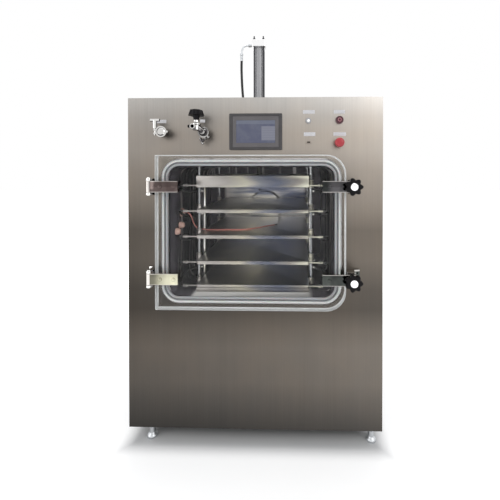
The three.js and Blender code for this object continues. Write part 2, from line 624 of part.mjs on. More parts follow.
for (const [place, side] of [["upper", 1], ["lower", -1]]) {
  const y = CHAMBER_Y + side * ARM.offset;
  piece(`${place}_hinge_bracket`, cabinet, hingeBracket(), polished, [0, y, 0]);
  piece(`${place}_clamp_bracket`, cabinet, clampBracket(), polished, [0, y, 0]);
  piece(`${place}_hinge_arm`, door, hingeArm(), polished, [0, y, 0]);
  piece(`${place}_clamp_arm`, door, clampArm(), polished, [0, y, 0]);
  piece(`${place}_star_knob`, door, starKnob(), blackPlastic, [CLAMP_X, y, 0]);
}

// ---------------------------------------------------------------- shelf rack
const rack = group("rack", root, [CHAMBER_X, 0, 0]);
const SHELF_BACK = -(SHELF.front + SHELF.depth);
const earPlaces = [-1, 1].flatMap((side) => GUIDE_Z.map((z) => [side * GUIDE_X, z]));

// A heated plate with its four ears, its guide sleeves and its two oil connections.
function shelfPlate() {
  const t = SHELF.thickness / 2;
  const plate = plan(rounded(SHELF.width, SHELF.depth, 6, 0, (SHELF_BACK - SHELF.front) / 2), -t, t, 1);
  const ears = earPlaces.flatMap(([x, z]) => {
    const inner = Math.sign(x) * (SHELF.width / 2 - 4);
    const outer = Math.sign(x) * (SHELF.width / 2 + EAR.reach);
    return [
      block(
        Math.min(inner, outer), Math.max(inner, outer), -t + 2, t - 2, z - EAR.depth / 2, z + EAR.depth / 2,
      ),
      bar("y", EAR.sleeve, -EAR.sleeveHeight / 2, EAR.sleeveHeight / 2, x, z, 8),
    ];
  });
  const z = -(SHELF.front + OIL_STUB.inset);
  const reach = SHELF.width / 2 + OIL_STUB.length;
  const stubs = [-1, 1].flatMap((side) => {
    const [a, b] = [side * (SHELF.width / 2 - 3), side * reach];
    const [c, d] = [side * (reach - 14), side * reach];
    return [
      bar("x", OIL_STUB.radius, Math.min(a, b), Math.max(a, b), 0, z, 6),
      bar("x", OIL_STUB.radius + 3, Math.min(c, d), Math.max(c, d), 0, z, 6),
    ];
  });
  const bores = earPlaces.map(([x, zz]) =>
    drill("y", GUIDE.radius + RUNNING, -EAR.sleeveHeight, EAR.sleeveHeight, x, zz, 8));
  return cut(join(plate, ears, stubs), bores);
}

const SHELF_EDGE = 12;
// Rails round the rim and across the middle of a shelf, from height y0 to y1.
function stiffeners(y0, y1) {
  const [w, f, b] = [SHELF.width / 2, -SHELF.front, SHELF_BACK];
  const middle = (f + b) / 2;
  return [
    block(-w, w, y0, y1, f - SHELF_EDGE, f),
    block(-w, w, y0, y1, b, b + SHELF_EDGE),
    block(-w, -w + SHELF_EDGE, y0, y1, b, f),
    block(w - SHELF_EDGE, w, y0, y1, b, f),
    block(-w, w, y0, y1, middle - SHELF_EDGE, middle + SHELF_EDGE),
    block(-SHELF_EDGE, SHELF_EDGE, y0, y1, b, f),
  ];
}

const PRESS_RISE = PRESS_HEIGHT - SHELF.thickness / 2;
const ROD_SEAT = 12;
function pressingShelf() {
  const hub = bar("y", 34, 0, PRESS_RISE, 0, RAM_Z, 16);
  return cut(
    join(shelfPlate(), stiffeners(SHELF.thickness / 2 - 1, PRESS_RISE), hub),
    drill("y", RAM.rod + FIT, PRESS_RISE - ROD_SEAT, PRESS_RISE + 1, 0, RAM_Z, 12),
  );
}

function bottomShelf() {
  const floor = CHAMBER_FLOOR + FIT - BOTTOM_SHELF_Y;
  return join(shelfPlate(), stiffeners(floor, 1 - SHELF.thickness / 2));
}

piece("bottom_shelf", rack, bottomShelf(), polished, [0, BOTTOM_SHELF_Y, 0]);
SHELF_LEVELS.forEach((y, i) => piece(`shelf_${3 - i}`, rack, shelfPlate(), polished, [0, y, 0]));
piece("pressing_shelf", rack, pressingShelf(), polished, [0, PRESS_Y, 0]);

earPlaces.forEach(([x, z], i) => {
  const rod = bar("y", GUIDE.radius, CHAMBER_FLOOR + FIT, CHAMBER_ROOF - FIT, x, z, 10);
  piece(`guide_rod_${i + 1}`, rack, rod, polished);
});

// The upright oil pipe beside the rack with a flexible hose to each shelf, drawn for the right-hand side.
const hoseLevels = [BOTTOM_SHELF_Y, ...SHELF_LEVELS, PRESS_Y];
const HOSE_DROP = 34;
function oilManifold(side) {
  const x = SHELF.width / 2 + OIL_PIPE.gap + OIL_PIPE.radius;
  const stubEnd = SHELF.width / 2 + OIL_STUB.length + FIT;
  const stubZ = -(SHELF.front + OIL_STUB.inset);
  const top = PRESS_Y + 20;
  const parts = [bar("y", OIL_PIPE.radius, CHAMBER_FLOOR + FIT, top, side * x, -OIL_PIPE.depth, 8)];
  for (const level of hoseLevels) {
    const drop = level === BOTTOM_SHELF_Y ? -HOSE_DROP : HOSE_DROP;
    const nozzle = x + OIL_PIPE.radius + OIL_PIPE.nozzle;
    const y = level - drop;
    const ends = [side * (x + 2), side * nozzle].sort((a, b) => a - b);
    parts.push(bar("x", OIL_HOSE + 1.5, ends[0], ends[1], y, -OIL_PIPE.depth, 6));
    parts.push(bent([
      [side * stubEnd, level, stubZ],
      [side * (stubEnd + 12), level, stubZ],
      [side * (stubEnd + 22), level - drop * 0.3, stubZ - 28],
      [side * (stubEnd + 20), level - drop * 0.8, stubZ - 70],
      [side * (stubEnd + 8), level - drop * 1.05, stubZ - 120],
      [side * (nozzle + 12), y, -OIL_PIPE.depth + 12],
      [side * (nozzle - 2), y, -OIL_PIPE.depth],
    ], OIL_HOSE, 8, 6));
  }
  return join(parts);
}
piece("left_oil_hoses", rack, oilManifold(-1), blackRubber);
piece("right_oil_hoses", rack, oilManifold(1), blackRubber);

// The product probe: a thin cable from a gland in the left wall that lies on the middle hanging shelf.
const PROBE = 2.4;
const glandEnd = GLAND.x + GLAND.length + FIT;
const shelfTop = (level) => level + SHELF.thickness / 2 + PROBE + FIT;
const probeRest = shelfTop(SHELF_LEVELS[1]);
const probeRoute = [
  [glandEnd, GLAND.y, -GLAND.depth], [glandEnd + 14, GLAND.y, -GLAND.depth], [-320, 902, -141],
  [-308, 888, -140], [-298, 862, -138], [-284, 838, -141],
  [-266, probeRest + 7, -148], [-246, probeRest + 1.5, -154],
  [-210, probeRest, -162], [-150, probeRest, -168], [-100, probeRest, -166], [-60, probeRest, -176],
  [-10, probeRest, -218], [30, probeRest, -270], [62, probeRest, -306], [80, probeRest, -322],
];
piece("probe_cable", chamber, bent(probeRoute, PROBE, 34, 8), pinkRubber);

// ---------------------------------------------------------------- hydraulic cylinder
const cylinder = group("cylinder", root, [CHAMBER_X, 0, RAM_Z]);
const tieRods = [-1, 1].flatMap((i) => [-1, 1].map((j) => [i * TIE_ROD.offset, j * TIE_ROD.offset]));
const squareBlock = (y0, y1) => plan(rounded(CYLINDER.block, CYLINDER.block, 6), y0, y1, 1);
const BASE_TOP = CYLINDER_BASE + CYLINDER.baseHeight;
const CAP_TOP = CYLINDER_CAP + CYLINDER.capHeight;

// The foot block with the tube welded to it and the four tie rods screwed into it.
function cylinderBody() {
  const rodTop = CAP_TOP + TIE_ROD.standout;
  const rods = tieRods.map(([x, z]) => bar("y", TIE_ROD.radius, BASE_TOP - 2, rodTop, x, z, 6));
  const tube = bar("y", RAM.tube, BASE_TOP - 2, CYLINDER_CAP - FIT, 0, 0, 18);
  return cut(
    join(squareBlock(CYLINDER_BASE, BASE_TOP), rods, tube),
    drill("y", RAM.bore, BASE_TOP, CYLINDER_CAP, 0, 0, 14),
    drill("y", RAM.rod + RUNNING, CYLINDER_BASE - 1, BASE_TOP + 1, 0, 0),
  );
}

function cylinderCap() {
  const holes = tieRods.map(([x, z]) =>
    drill("y", TIE_ROD.radius + FIT, CYLINDER_CAP - 1, CAP_TOP + 30, x, z, 8));
  const nuts = tieRods.map(([x, z]) => plan(hexagon(13), CAP_TOP - 1, CAP_TOP + 9, 1).translate([x, 0, z]));
  const fittingY = CYLINDER_CAP + CYLINDER.capHeight / 2;
  const fitting = bar("x", 8, -CYLINDER.block / 2 - 18, -CYLINDER.block / 2 + 2, fittingY, 0, 6);
  return cut(join(squareBlock(CYLINDER_CAP, CAP_TOP), nuts, fitting), holes);
}

const PISTON = { height: 30, top: CYLINDER_CAP - 8 };
function ramRod() {
  return join(
    bar("y", RAM.rod, PRESS_Y + PRESS_RISE - ROD_SEAT + FIT, PISTON.top, 0, 0, 16),
    bar("y", RAM.bore - FIT, PISTON.top - PISTON.height, PISTON.top, 0, 0, 16),
  );
}

piece("cylinder_body", cylinder, cylinderBody(), anodised);
piece("cylinder_cap", cylinder, cylinderCap(), anodised);
piece("ram_rod", cylinder, ramRod(), polished);

// The pressure hose: a bent steel end at the cap, then a rubber hose down through the roof to the power pack.
const POWER_PACK = { x: -390, z: -330, width: 190, depth: 240, height: 210 };
const floorTop = TUBE + FLOOR_PLATE;
const packTop = floorTop + FIT + POWER_PACK.height;
function hydraulicHose() {
  const { x, y } = HOSE_TOP;
  const elbow = bent([
    [fittingEnd - FIT, hoseTopY, RAM_Z], [fittingEnd - 12, hoseTopY - 1, RAM_Z],
    [fittingEnd - 26, hoseTopY - 8, RAM_Z], [fittingEnd - 34, hoseTopY - 24, RAM_Z],
    [fittingEnd - 36, hoseTopY - 44, RAM_Z], [x, hoseTopY - 60, RAM_Z],
  ], 4.2, 10, 6);
  const ferrule = bar("y", 7, y - 6, y + 36, x, RAM_Z, 10);
  const side = -(FRAME_HALF - TUBE + 498) / 2 + 44;
  const roof = CABINET_HEIGHT;
  const lean = (share, bow) => [x + bow * HOSE_LEAN * hoseRun, roof + share * hoseRun, RAM_Z];
  const hose = bent([
    [x, y, RAM_Z], lean(0.815, -0.04), lean(0.51, 0.24), lean(0.2, 0.8), lean(0, 1),
    [HOSE_GROMMET.x + 3, roof - 50, RAM_Z], [-110, roof - 110, RAM_Z - 10], [-170, roof - 170, RAM_Z - 20],
    [-270, roof - 198, RAM_Z - 20], [-380, roof - 210, RAM_Z - 10], [side, roof - 280, RAM_Z],
    [side - 6, 1000, RAM_Z], [side - 6, 800, RAM_Z], [side - 6, 600, RAM_Z], [side, 470, RAM_Z],
    [side + 20, 380, RAM_Z], [POWER_PACK.x, packTop + 60, POWER_PACK.z],
    [POWER_PACK.x, packTop + 20 + FIT, POWER_PACK.z],
  ], 5.2, 30, 6);
  return join(elbow, ferrule, hose);
}
piece("hydraulic_hose", root, hydraulicHose(), blackRubber);

// ---------------------------------------------------------------- controls
const controls = group("controls");
const BEZEL_STEP = 9;
const GLASS_SEAT = 4; // how far below the bezel's face the glass lies on
function touchScreen() {
  const { x, y, width, height, thickness, glassWidth, glassHeight } = SCREEN;
  const bezel = bevelledSlab(rounded(width, height, 4, x, y), FIT, thickness, 1.5);
  const housing = slab(rounded(width - 32, height - 18, 2, x, y), -48, FIT + 1, 1);
  const stepped = rounded(width - 2 * BEZEL_STEP - 10, height - 2 * BEZEL_STEP - 4, 3, x, y);
  const step = slab(stepped, thickness - 1, thickness + 1, 1);
  const sunk = rounded(glassWidth + 2 * FIT, glassHeight + 2 * FIT, 1, x, y);
  const pocket = slab(sunk, thickness - GLASS_SEAT, thickness + 1, 1);
  return cut(join(bezel, housing), step, pocket);
}
piece("touch_screen", controls, touchScreen(), darkPlastic);
function displayGlass() {
  const { x, y, thickness, glassWidth, glassHeight } = SCREEN;
  return slab(rounded(glassWidth, glassHeight, 1, x, y), thickness - GLASS_SEAT + FIT, thickness - 1.5, 1);
}
piece("display_glass", controls, displayGlass(), glass);

// A collar clamped in the panel by the nut behind it; local z = 0 is the panel's front face.
function buttonCollar({ collar, hole, cap }, height) {
  const bore = Math.min(cap, hole - 2) + RUNNING;
  const ring = turnedOut([
    [bore, -18], [hole, -18], [hole, -1], [collar, -1], [collar, height - 2], [collar - 2, height],
    [bore, height], [bore, -18],
  ], 12);
  const nut = cut(slab(hexagon(2 * hole + 8), -SHEET - 6, -SHEET + 1, 1), bar("z", hole - 1, -20, 1, 0, 0));
  return join(ring, nut);
}

const BUTTON_TRAVEL = 3;
const STOP_TRAVEL = 5;
function pushButton({ cap, hole }, collarHeight, proud) {
  const radius = Math.min(cap, hole - 2);
  const front = collarHeight + proud;
  return turnedOut([[0, -16], [radius, -16], [radius, front - 1.5], [radius - 1.5, front], [0, front]], 12);
}
function stopHead({ cap, hole }) {
  const under = STOP_COLLAR + STOP_TRAVEL + 1;
  return turnedOut([
    [0, -16], [hole - 2, -16], [hole - 2, under], [cap - 3, under], [cap, under + 4], [cap, under + 12],
    [cap - 2, under + 17], [cap - 8, under + 20], [0, under + 21],
  ], 16);
}
const BUTTON_PROUD = BUTTON_TRAVEL + 0.5;
const onPanel = ({ x, y }) => [x, y, 0];
const startCap = pushButton(START_BUTTON, START_COLLAR, BUTTON_PROUD);
const powerCap = pushButton(POWER_BUTTON, POWER_COLLAR, BUTTON_PROUD);
piece("start_button", controls, startCap, satin, onPanel(START_BUTTON));
piece("power_button", controls, powerCap, redPlastic, onPanel(POWER_BUTTON));
piece("stop_button", controls, stopHead(STOP_BUTTON), redPlastic, onPanel(STOP_BUTTON));

function usbSocket() {
  const { width, height } = USB;
  return cut(
    join(
      bevelledSlab(rounded(width, height, 2), -1, 3, 0.8, 1),
      slab(rounded(width - 5, height - 4, 1), -22, 1, 1),
    ),
    slab(rounded(13, 5.4, 0.4), -10, 4, 1),
  );
}

// ---------------------------------------------------------------- sanitary ports and the vent valve
const ports = group("ports");
const FERRULE_FACE = FERRULE.seat + 8;
// A stub through the panel that ends in a sanitary ferrule.
function ferruleStub(blank) {
  const { pipe, flange, seat } = FERRULE;
  const outer = [
    [pipe, -30], [pipe, seat - 8], [flange - 3, seat], [flange, seat + 2], [flange, FERRULE_FACE],
  ];
  if (blank) {
    const lid = FERRULE_FACE + 8;
    return turnedOut([[0, -30], ...outer, [flange, lid - 3], [flange - 4, lid], [0, lid]]);
  }
  return turnedOut([[pipe - 2, -30], ...outer, [pipe - 2, FERRULE_FACE], [pipe - 2, -30]]);
}

// The two-part clamp band round a ferrule, with its lugs for the swing bolt at local angle 180 degrees.
const BAND = {
  inner: FERRULE.flange + FIT, outer: FERRULE.clamp, back: FERRULE.seat, front: FERRULE_FACE + 6,
};
function clampBand() {
  const { inner, outer, back, front } = BAND;
  const ring = cut(bar("z", outer, back, front, 0, 0, 16), drill("z", inner, back - 1, front + 1, 0, 0, 16));
  const lug = (y) => block(-outer - 8, -inner - 1, y - 3, y + 3, back, front);
  const hinge = bar("z", 5, back, front, outer + 1, 0, 12);
  const boltHole = drill("y", 3.5, -20, 20, -outer - 4, (back + front) / 2, 10);
  return cut(join(ring, lug(7), lug(-7), hinge), boltHole);
}

const samplePort = group("sample_port", ports, [SAMPLE_PORT.x, SAMPLE_PORT.y, 0]);
piece("sample_ferrule", samplePort, ferruleStub(true), polished);
piece("sample_clamp", samplePort, clampBand(), polished);
const nutAxis = -FERRULE.clamp - 4;
const bandMiddle = (BAND.back + BAND.front) / 2;
function clampNut(tall) {
  return join(
    bar("y", 3, -14, 16, 0, 0, 10),
    bar("y", tall ? 8 : 6, 13.5, tall ? 46 : 24, 0, 0),
    bar("x", 5.5, tall ? -19 : -14, tall ? 19 : 14, tall ? 48 : 25, 0, 12),
  );
}
piece("sample_clamp_nut", samplePort, clampNut(true), polished, [nutAxis, 0, bandMiddle]);

const VENT_TURN = (2 * Math.PI) / 3; // how far the vent's clamp is turned round its pipe
const ventPort = group("vent_port", ports, [VENT_PORT.x, VENT_PORT.y, 0]);
piece("vent_ferrule", ventPort, ferruleStub(false), polished);
const ventClamp = piece("vent_clamp", ventPort, clampBand(), polished);
ventClamp.rotation.z = VENT_TURN;
const ventNut = piece("vent_clamp_nut", ventPort, clampNut(false), polished,
  [nutAxis * Math.cos(VENT_TURN), nutAxis * Math.sin(VENT_TURN), bandMiddle]);
ventNut.rotation.z = VENT_TURN;
const STEM = { x: -22.5, y: 20, z: FERRULE_FACE + 24 };
function ventValveBody() {
  const rim = FERRULE.flange - 0.5;
  const cone = turnedOut([[0, 0], [rim, 0], [rim, 4], [12, 7], [11, 22], [0, 22]], 12)
    .translate([0, 0, FERRULE_FACE + FIT]);
  const bonnet = turned([
    [0, -16], [13, -16], [15, -12], [15, 10], [19, 13], [19, 19], [11, 22], [11, 25], [0, 25],
  ], 12).translate([STEM.x, STEM.y, STEM.z]);
  const link = bent([
    [0, 0, FERRULE_FACE + 12], [-5, 4, FERRULE_FACE + 20], [-14, 12, STEM.z],
    [STEM.x, STEM.y - 2, STEM.z],
  ], 10, 4, 8);
  const inlet = bar("z", 9, STEM.z, STEM.z + 30, STEM.x - 7, STEM.y - 4, 14);
  const inletBore = drill("z", 6.5, STEM.z + 8, STEM.z + 31, STEM.x - 7, STEM.y - 4, 12);
  const bleed = join(
    bar("x", 3, STEM.x - 28, STEM.x, STEM.y + 1, STEM.z, 8),
    bar("x", 6, STEM.x - 34, STEM.x - 25, STEM.y + 1, STEM.z, 8),
  );
  return cut(join(cone, bonnet, link, inlet, bleed), inletBore);
}
piece("vent_valve_body", ventPort, ventValveBody(), polished);

const WHEEL = { radius: 31, lobes: 8 };
function ventHandwheel() {
  const outline = new THREE.Shape();
  const points = WHEEL.lobes * 4;
  for (let i = 0; i < points; i++) {
    const angle = (2 * Math.PI * i) / points;
    const radius = WHEEL.radius - 1.5 * (1 - Math.cos(WHEEL.lobes * angle));
    outline[i ? "lineTo" : "moveTo"](radius * Math.cos(angle), radius * Math.sin(angle));
  }
  outline.closePath();
  const rim = plan(outline, 16, 30, 1);
  const dome = turned([[0, 0], [9.5, 0], [9.5, 10], [22, 17], [27, 24], [27, 31], [20, 38], [0, 40]], 14);
  return join(rim, dome);
}
piece("vent_handwheel", ventPort, ventHandwheel(), blackPlastic, [STEM.x, STEM.y + 25 + FIT, STEM.z]);

// ---------------------------------------------------------------- refrigeration, oil and hydraulics
const machinery = group("machinery");
const TRAP = { radius: 128, wall: 4, low: 610, high: 1090, z: -(CABINET_DEPTH - 160) };
function coldTrap() {
  const body = (grow) => turned([
    [0, TRAP.low - grow], [TRAP.radius - 40 + grow / 2, TRAP.low - grow],
    [TRAP.radius + grow, TRAP.low + 40], [TRAP.radius + grow, TRAP.high - 40],
    [TRAP.radius - 40 + grow / 2, TRAP.high + grow], [0, TRAP.high + grow],
  ], 14).translate([CHAMBER_X, 0, TRAP.z]);
  const faceZ = NECK.end - FIT;
  const neck = bar("z", VAPOUR_PORT.radius + NECK.wall, TRAP.z, faceZ, CHAMBER_X, VAPOUR_PORT.y, 16);
  const flangeRadius = VAPOUR_PORT.radius + NECK.flange;
  const flange = bar("z", flangeRadius, faceZ - NECK.flangeThickness, faceZ, CHAMBER_X, VAPOUR_PORT.y, 16);
  const pump = bent([
    [CHAMBER_X + TRAP.radius - 6, VACUUM_PORT.y, TRAP.z], [VACUUM_PORT.x - 50, VACUUM_PORT.y, TRAP.z],
    [VACUUM_PORT.x - 12, VACUUM_PORT.y, TRAP.z - 14], [VACUUM_PORT.x, VACUUM_PORT.y, TRAP.z - 50],
    [VACUUM_PORT.x, VACUUM_PORT.y, 30 - CABINET_DEPTH], [VACUUM_PORT.x, VACUUM_PORT.y, -CABINET_DEPTH - 8],
  ], VACUUM_PORT.radius - 4, 8, 8);
  const rimEnd = -CABINET_DEPTH - 12;
  const rim = bar("z", VACUUM_PORT.radius + 2, rimEnd, rimEnd + 8, VACUUM_PORT.x, VACUUM_PORT.y, 12);
  const boreEnd = VACUUM_BORE - CABINET_DEPTH;
  const legs = [-1, 1].map((side) => {
    const x = CHAMBER_X + side * (TRAP.radius - 40);
    return block(x - 15, x + 15, CHAMBER_SEAT, TRAP.low + 60, TRAP.z - 60, TRAP.z + 60);
  });
  const bearer = block(CHAMBER_X - MOUTH.width * 0.36 - TUBE / 2, CHAMBER_X + MOUTH.width * 0.36 + TUBE / 2,
    CHAMBER_SEAT, CHAMBER_SEAT + 14, TRAP.z - 60, TRAP.z + 60);
  const vessel = cut(
    join(body(TRAP.wall), neck, flange, pump, rim, legs, bearer),
    body(0),
    bar("z", VAPOUR_PORT.radius, TRAP.z, faceZ + 1, CHAMBER_X, VAPOUR_PORT.y, 16),
    drill("z", VACUUM_PORT.radius - 8, rimEnd - 1, boreEnd, VACUUM_PORT.x, VACUUM_PORT.y, 10),
  );
  return join(vessel, trapCoil());
}

// The refrigerant coil on its post, welded to the floor of the trap.
function trapCoil() {
  const turns = 3;
  const radius = TRAP.radius - 26;
  const rise = (TRAP.high - TRAP.low - 140) / turns;
  const points = [];
  const perTurn = 8;
  for (let i = 0; i <= turns * perTurn; i++) {
    const angle = (2 * Math.PI * i) / perTurn;
    const height = TRAP.low + 60 + (rise * i) / perTurn;
    points.push([CHAMBER_X + radius * Math.cos(angle), height, TRAP.z + radius * Math.sin(angle)]);
  }
  const side = CHAMBER_X + radius;
  const foot = TRAP.low - 2;
  const floor = block(CHAMBER_X - radius, side, foot, TRAP.low + 14, TRAP.z - 12, TRAP.z + 12);
  const post = block(side - 8, side + 8, foot, TRAP.high - 60, TRAP.z - 10, TRAP.z + 10);
  return join(bent(points, 9, turns * perTurn, 5), floor, post);
}

function compressor() {
  const can = turned([
    [0, 30], [96, 30], [106, 50], [106, 250], [88, 290], [50, 310], [0, 314],
  ], 16);
  const foot = block(-110, 110, 14, 34, -60, 60);
  const pads = [-1, 1].flatMap((i) => [-1, 1].map((j) => bar("y", 14, 0, 16, i * 90, j * 44, 8)));
  const box = block(80, 128, 120, 200, -32, 32);
  return join(can, foot, pads, box);
}
piece("cold_trap", machinery, coldTrap(), satin);
piece("compressor", machinery, compressor(), paintedBlack, [-60, floorTop + FIT, -480]);

const CONDENSER = { width: 420, height: 380, depth: 60, x: 250, z: -(CABINET_DEPTH - 150) };
const FAN = { radius: 165, z: CONDENSER.z - CONDENSER.depth / 2 - 34, y: 20 + 380 / 2 };
function condenserCore() {
  const { width, height, depth } = CONDENSER;
  const fins = [block(-width / 2 + 1, width / 2 - 1, 12, height - 12, -8, 8)];
  const count = 9;
  for (let i = 0; i < count; i++) {
    const x = (i + 0.5 - count / 2) * ((width - 12) / count);
    fins.push(block(x - 8, x + 8, 12, height - 12, 1 - depth / 2, depth / 2 - 1));
  }
  const ends = [-width / 2, width / 2 - 3].map((x) => block(x, x + 3, 0, height, -depth / 2, depth / 2));
  const trays = [block(-width / 2, width / 2, 0, 13, -depth / 2, depth / 2),
    block(-width / 2, width / 2, height - 13, height, -depth / 2, depth / 2)];
  const shroudZ = -depth / 2;
  const shroud = cut(
    block(-width / 2, width / 2, 0, height, shroudZ - 50, shroudZ + 1),
    block(-width / 2 + 3, width / 2 - 3, 3, height - 3, shroudZ - 47, shroudZ + 2),
    drill("z", FAN.radius + 8, shroudZ - 60, shroudZ - 40, 0, height / 2, 20),
  );
  const motor = bar("z", 32, shroudZ - 24, shroudZ + 20, 0, height / 2, 12);
  const middle = height / 2;
  const stays = [block(2 - width / 2, width / 2 - 2, middle - 6, middle + 6, shroudZ - 4, shroudZ + 3)];
  return join(fins, ends, trays, shroud, motor, stays);
}
piece("condenser", machinery, condenserCore(), aluminium, [CONDENSER.x, floorTop + FIT, CONDENSER.z]);

function coolingFan() {
  const hub = bar("z", 36, -14, 8, 0, 0, 14);
  const blades = [];
  for (let i = 0; i < 5; i++) {
    const blade = new THREE.BoxGeometry(FAN.radius - 26, 60, 3);
    blade.rotateX(0.5).translate((FAN.radius + 26) / 2 - 4, 0, -8);
    blade.rotateZ((2 * Math.PI * i) / 5);
    blades.push(solid(blade));
  }
  return join(hub, blades);
}
const fanZ = CONDENSER.z - CONDENSER.depth / 2 - 24 - 8 - FIT;
piece("cooling_fan", machinery, coolingFan(), blackPlastic,
  [CONDENSER.x, floorTop + FIT + CONDENSER.height / 2, fanZ]);

const OIL_TANK = { x: 330, z: -300, width: 260, depth: 260, height: 240 };
function oilTank() {
  const { width, depth, height } = OIL_TANK;
  const tank = block(-width / 2, width / 2, 0, height, -depth / 2, depth / 2);
  const lid = block(-width / 2 - 6, width / 2 + 6, height - 2, height + 5, -depth / 2 - 6, depth / 2 + 6);
  const filler = bar("y", 22, height, height + 40, -width / 4, depth / 4, 16);
  const motor = bar("y", 45, height, height + 130, width / 5, 0, 14);
  const outlet = bar("y", 12, height, height + 60, -width / 4, -depth / 4, 12);
  return join(tank, lid, filler, motor, outlet);
}
piece("oil_tank", machinery, oilTank(), satin, [OIL_TANK.x, floorTop + FIT, OIL_TANK.z]);

function powerPack() {
  const { width, depth, height } = POWER_PACK;
  return join(
    block(-width / 2, width / 2, 0, height - 60, -depth / 2, depth / 2),
    block(-width / 2 + 20, width / 2 - 20, height - 62, height - 10, -depth / 4, depth / 4),
    bar("y", 9, height - 12, height + 20, 0, 0, 6),
    bar("z", 42, -depth / 2 - 60, -depth / 4 + 4, 0, height - 50, 14),
  );
}
piece("power_pack", machinery, powerPack(), paintedBlack, [POWER_PACK.x, floorTop + FIT, POWER_PACK.z]);

const ELECTRICS = { x: 330, z: -300, width: 300, height: 150, depth: 320 };
function electricalBox() {
  const { width, height, depth } = ELECTRICS;
  const back = FRAME_TOP - TUBE;
  return join(
    block(-width / 2, width / 2, back - height, back, -depth / 2, depth / 2),
    block(-width / 2 - 4, width / 2 + 4, back - height - 3, back - height + 3, -depth / 2 - 4, depth / 2 + 4),
    block(-20, width / 2 + FRAME_HALF - ELECTRICS.x - width / 2 - TUBE - FIT, back - 6, back, -30, 30),
  );
}
piece("electrical_box", machinery, electricalBox(), whitePaint, [ELECTRICS.x, 0, ELECTRICS.z]);

// ---------------------------------------------------------------- standing the model up
// Z up, front towards -Y, with the origin on the floor under the middle of the whole outline.
root.rotation.x = Math.PI / 2;
root.position.z = FOOT_HEIGHT;
root.updateMatrixWorld(true);
const outline = new THREE.Box3().setFromObject(root);
root.position.y = -(outline.min.y + outline.max.y) / 2;
root.position.x = -(outline.min.x + outline.max.x) / 2;

export default root;
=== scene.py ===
# %% [markdown]
# # A pilot freeze dryer
# A freeze dryer takes the water out of frozen goods under vacuum. This one stands on the floor: a brushed
# stainless cabinet, a mirror-polished chamber behind a thick clear door, and in it a stack of heated
# shelves that a hydraulic ram can press together. The solid model is loaded first and is never moved.
# Everything made here is either a finish for one of its pieces or a finer piece that stands in its place.

# %% Load the frame
import math

import bmesh
import bpy
from mathutils import Matrix, Vector
from mathutils.geometry import interpolate_bezier


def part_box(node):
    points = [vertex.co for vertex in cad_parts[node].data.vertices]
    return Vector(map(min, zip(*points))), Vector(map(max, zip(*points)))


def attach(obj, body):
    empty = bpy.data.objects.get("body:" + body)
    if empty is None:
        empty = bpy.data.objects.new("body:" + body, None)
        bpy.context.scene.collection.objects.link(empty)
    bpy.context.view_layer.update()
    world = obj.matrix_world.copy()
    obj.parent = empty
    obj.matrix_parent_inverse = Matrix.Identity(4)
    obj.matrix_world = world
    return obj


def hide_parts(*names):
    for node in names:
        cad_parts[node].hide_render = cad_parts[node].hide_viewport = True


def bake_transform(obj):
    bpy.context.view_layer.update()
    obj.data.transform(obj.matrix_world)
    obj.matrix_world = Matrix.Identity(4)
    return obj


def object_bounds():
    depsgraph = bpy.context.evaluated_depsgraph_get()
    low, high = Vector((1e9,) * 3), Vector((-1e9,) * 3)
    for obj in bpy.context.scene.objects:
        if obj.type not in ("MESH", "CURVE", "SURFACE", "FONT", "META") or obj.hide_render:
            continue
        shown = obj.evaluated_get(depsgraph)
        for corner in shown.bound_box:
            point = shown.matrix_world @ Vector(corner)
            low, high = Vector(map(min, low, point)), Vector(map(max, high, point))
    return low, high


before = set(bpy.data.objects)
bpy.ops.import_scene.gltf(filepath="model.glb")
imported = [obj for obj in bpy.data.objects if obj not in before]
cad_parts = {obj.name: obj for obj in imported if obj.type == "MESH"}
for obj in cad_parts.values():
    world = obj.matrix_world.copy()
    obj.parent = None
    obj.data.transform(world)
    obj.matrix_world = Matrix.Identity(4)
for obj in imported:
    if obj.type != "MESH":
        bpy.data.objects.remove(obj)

cad_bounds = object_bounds()

# %% [markdown]
# ## The camera
# The dryer is seen from close by through a wide lens at the height of the door's upper half, so that the
# underside of the upper shelves and the top of the lower ones both show. A longer lens from further away
# would flatten the chamber. The lens is shifted, as on a view camera, so that the cabinet's sides stay
# upright.

# %% Camera
def put(name, data):
    """An object in the scene that holds a mesh, a lamp or a camera."""
    holder = bpy.data.objects.new(name, data)
    bpy.context.scene.collection.objects.link(holder)
    return holder


lens = bpy.data.cameras.new("view_camera")
lens.sensor_width, lens.lens, lens.clip_start = 36, 21.05, 0.05
lens.shift_x, lens.shift_y = -0.063, -0.135
camera = put("view_camera", lens)
camera.location = (0.142, -1.7107, 1.1406)
camera.rotation_euler = (math.radians(90 - 0.464), 0, math.radians(1.268))
bpy.context.scene.camera = camera
bpy.context.scene.view_settings.view_transform = "Standard"
print("camera at", [round(v, 3) for v in camera.location], "with a", lens.lens, "mm lens")

# %% [markdown]
# ## Places on the machine
# The drawings of such a machine give every place in millimetres from the middle of the front sheet: so far
# to the right, so far up from its lower edge, and so far out towards the reader. Working in those three
# numbers is easier to check than metres from a world origin, so one small helper turns them into a place in
# the scene. Depths behind the front sheet are written as plain numbers and go into the helper with a minus
# sign.

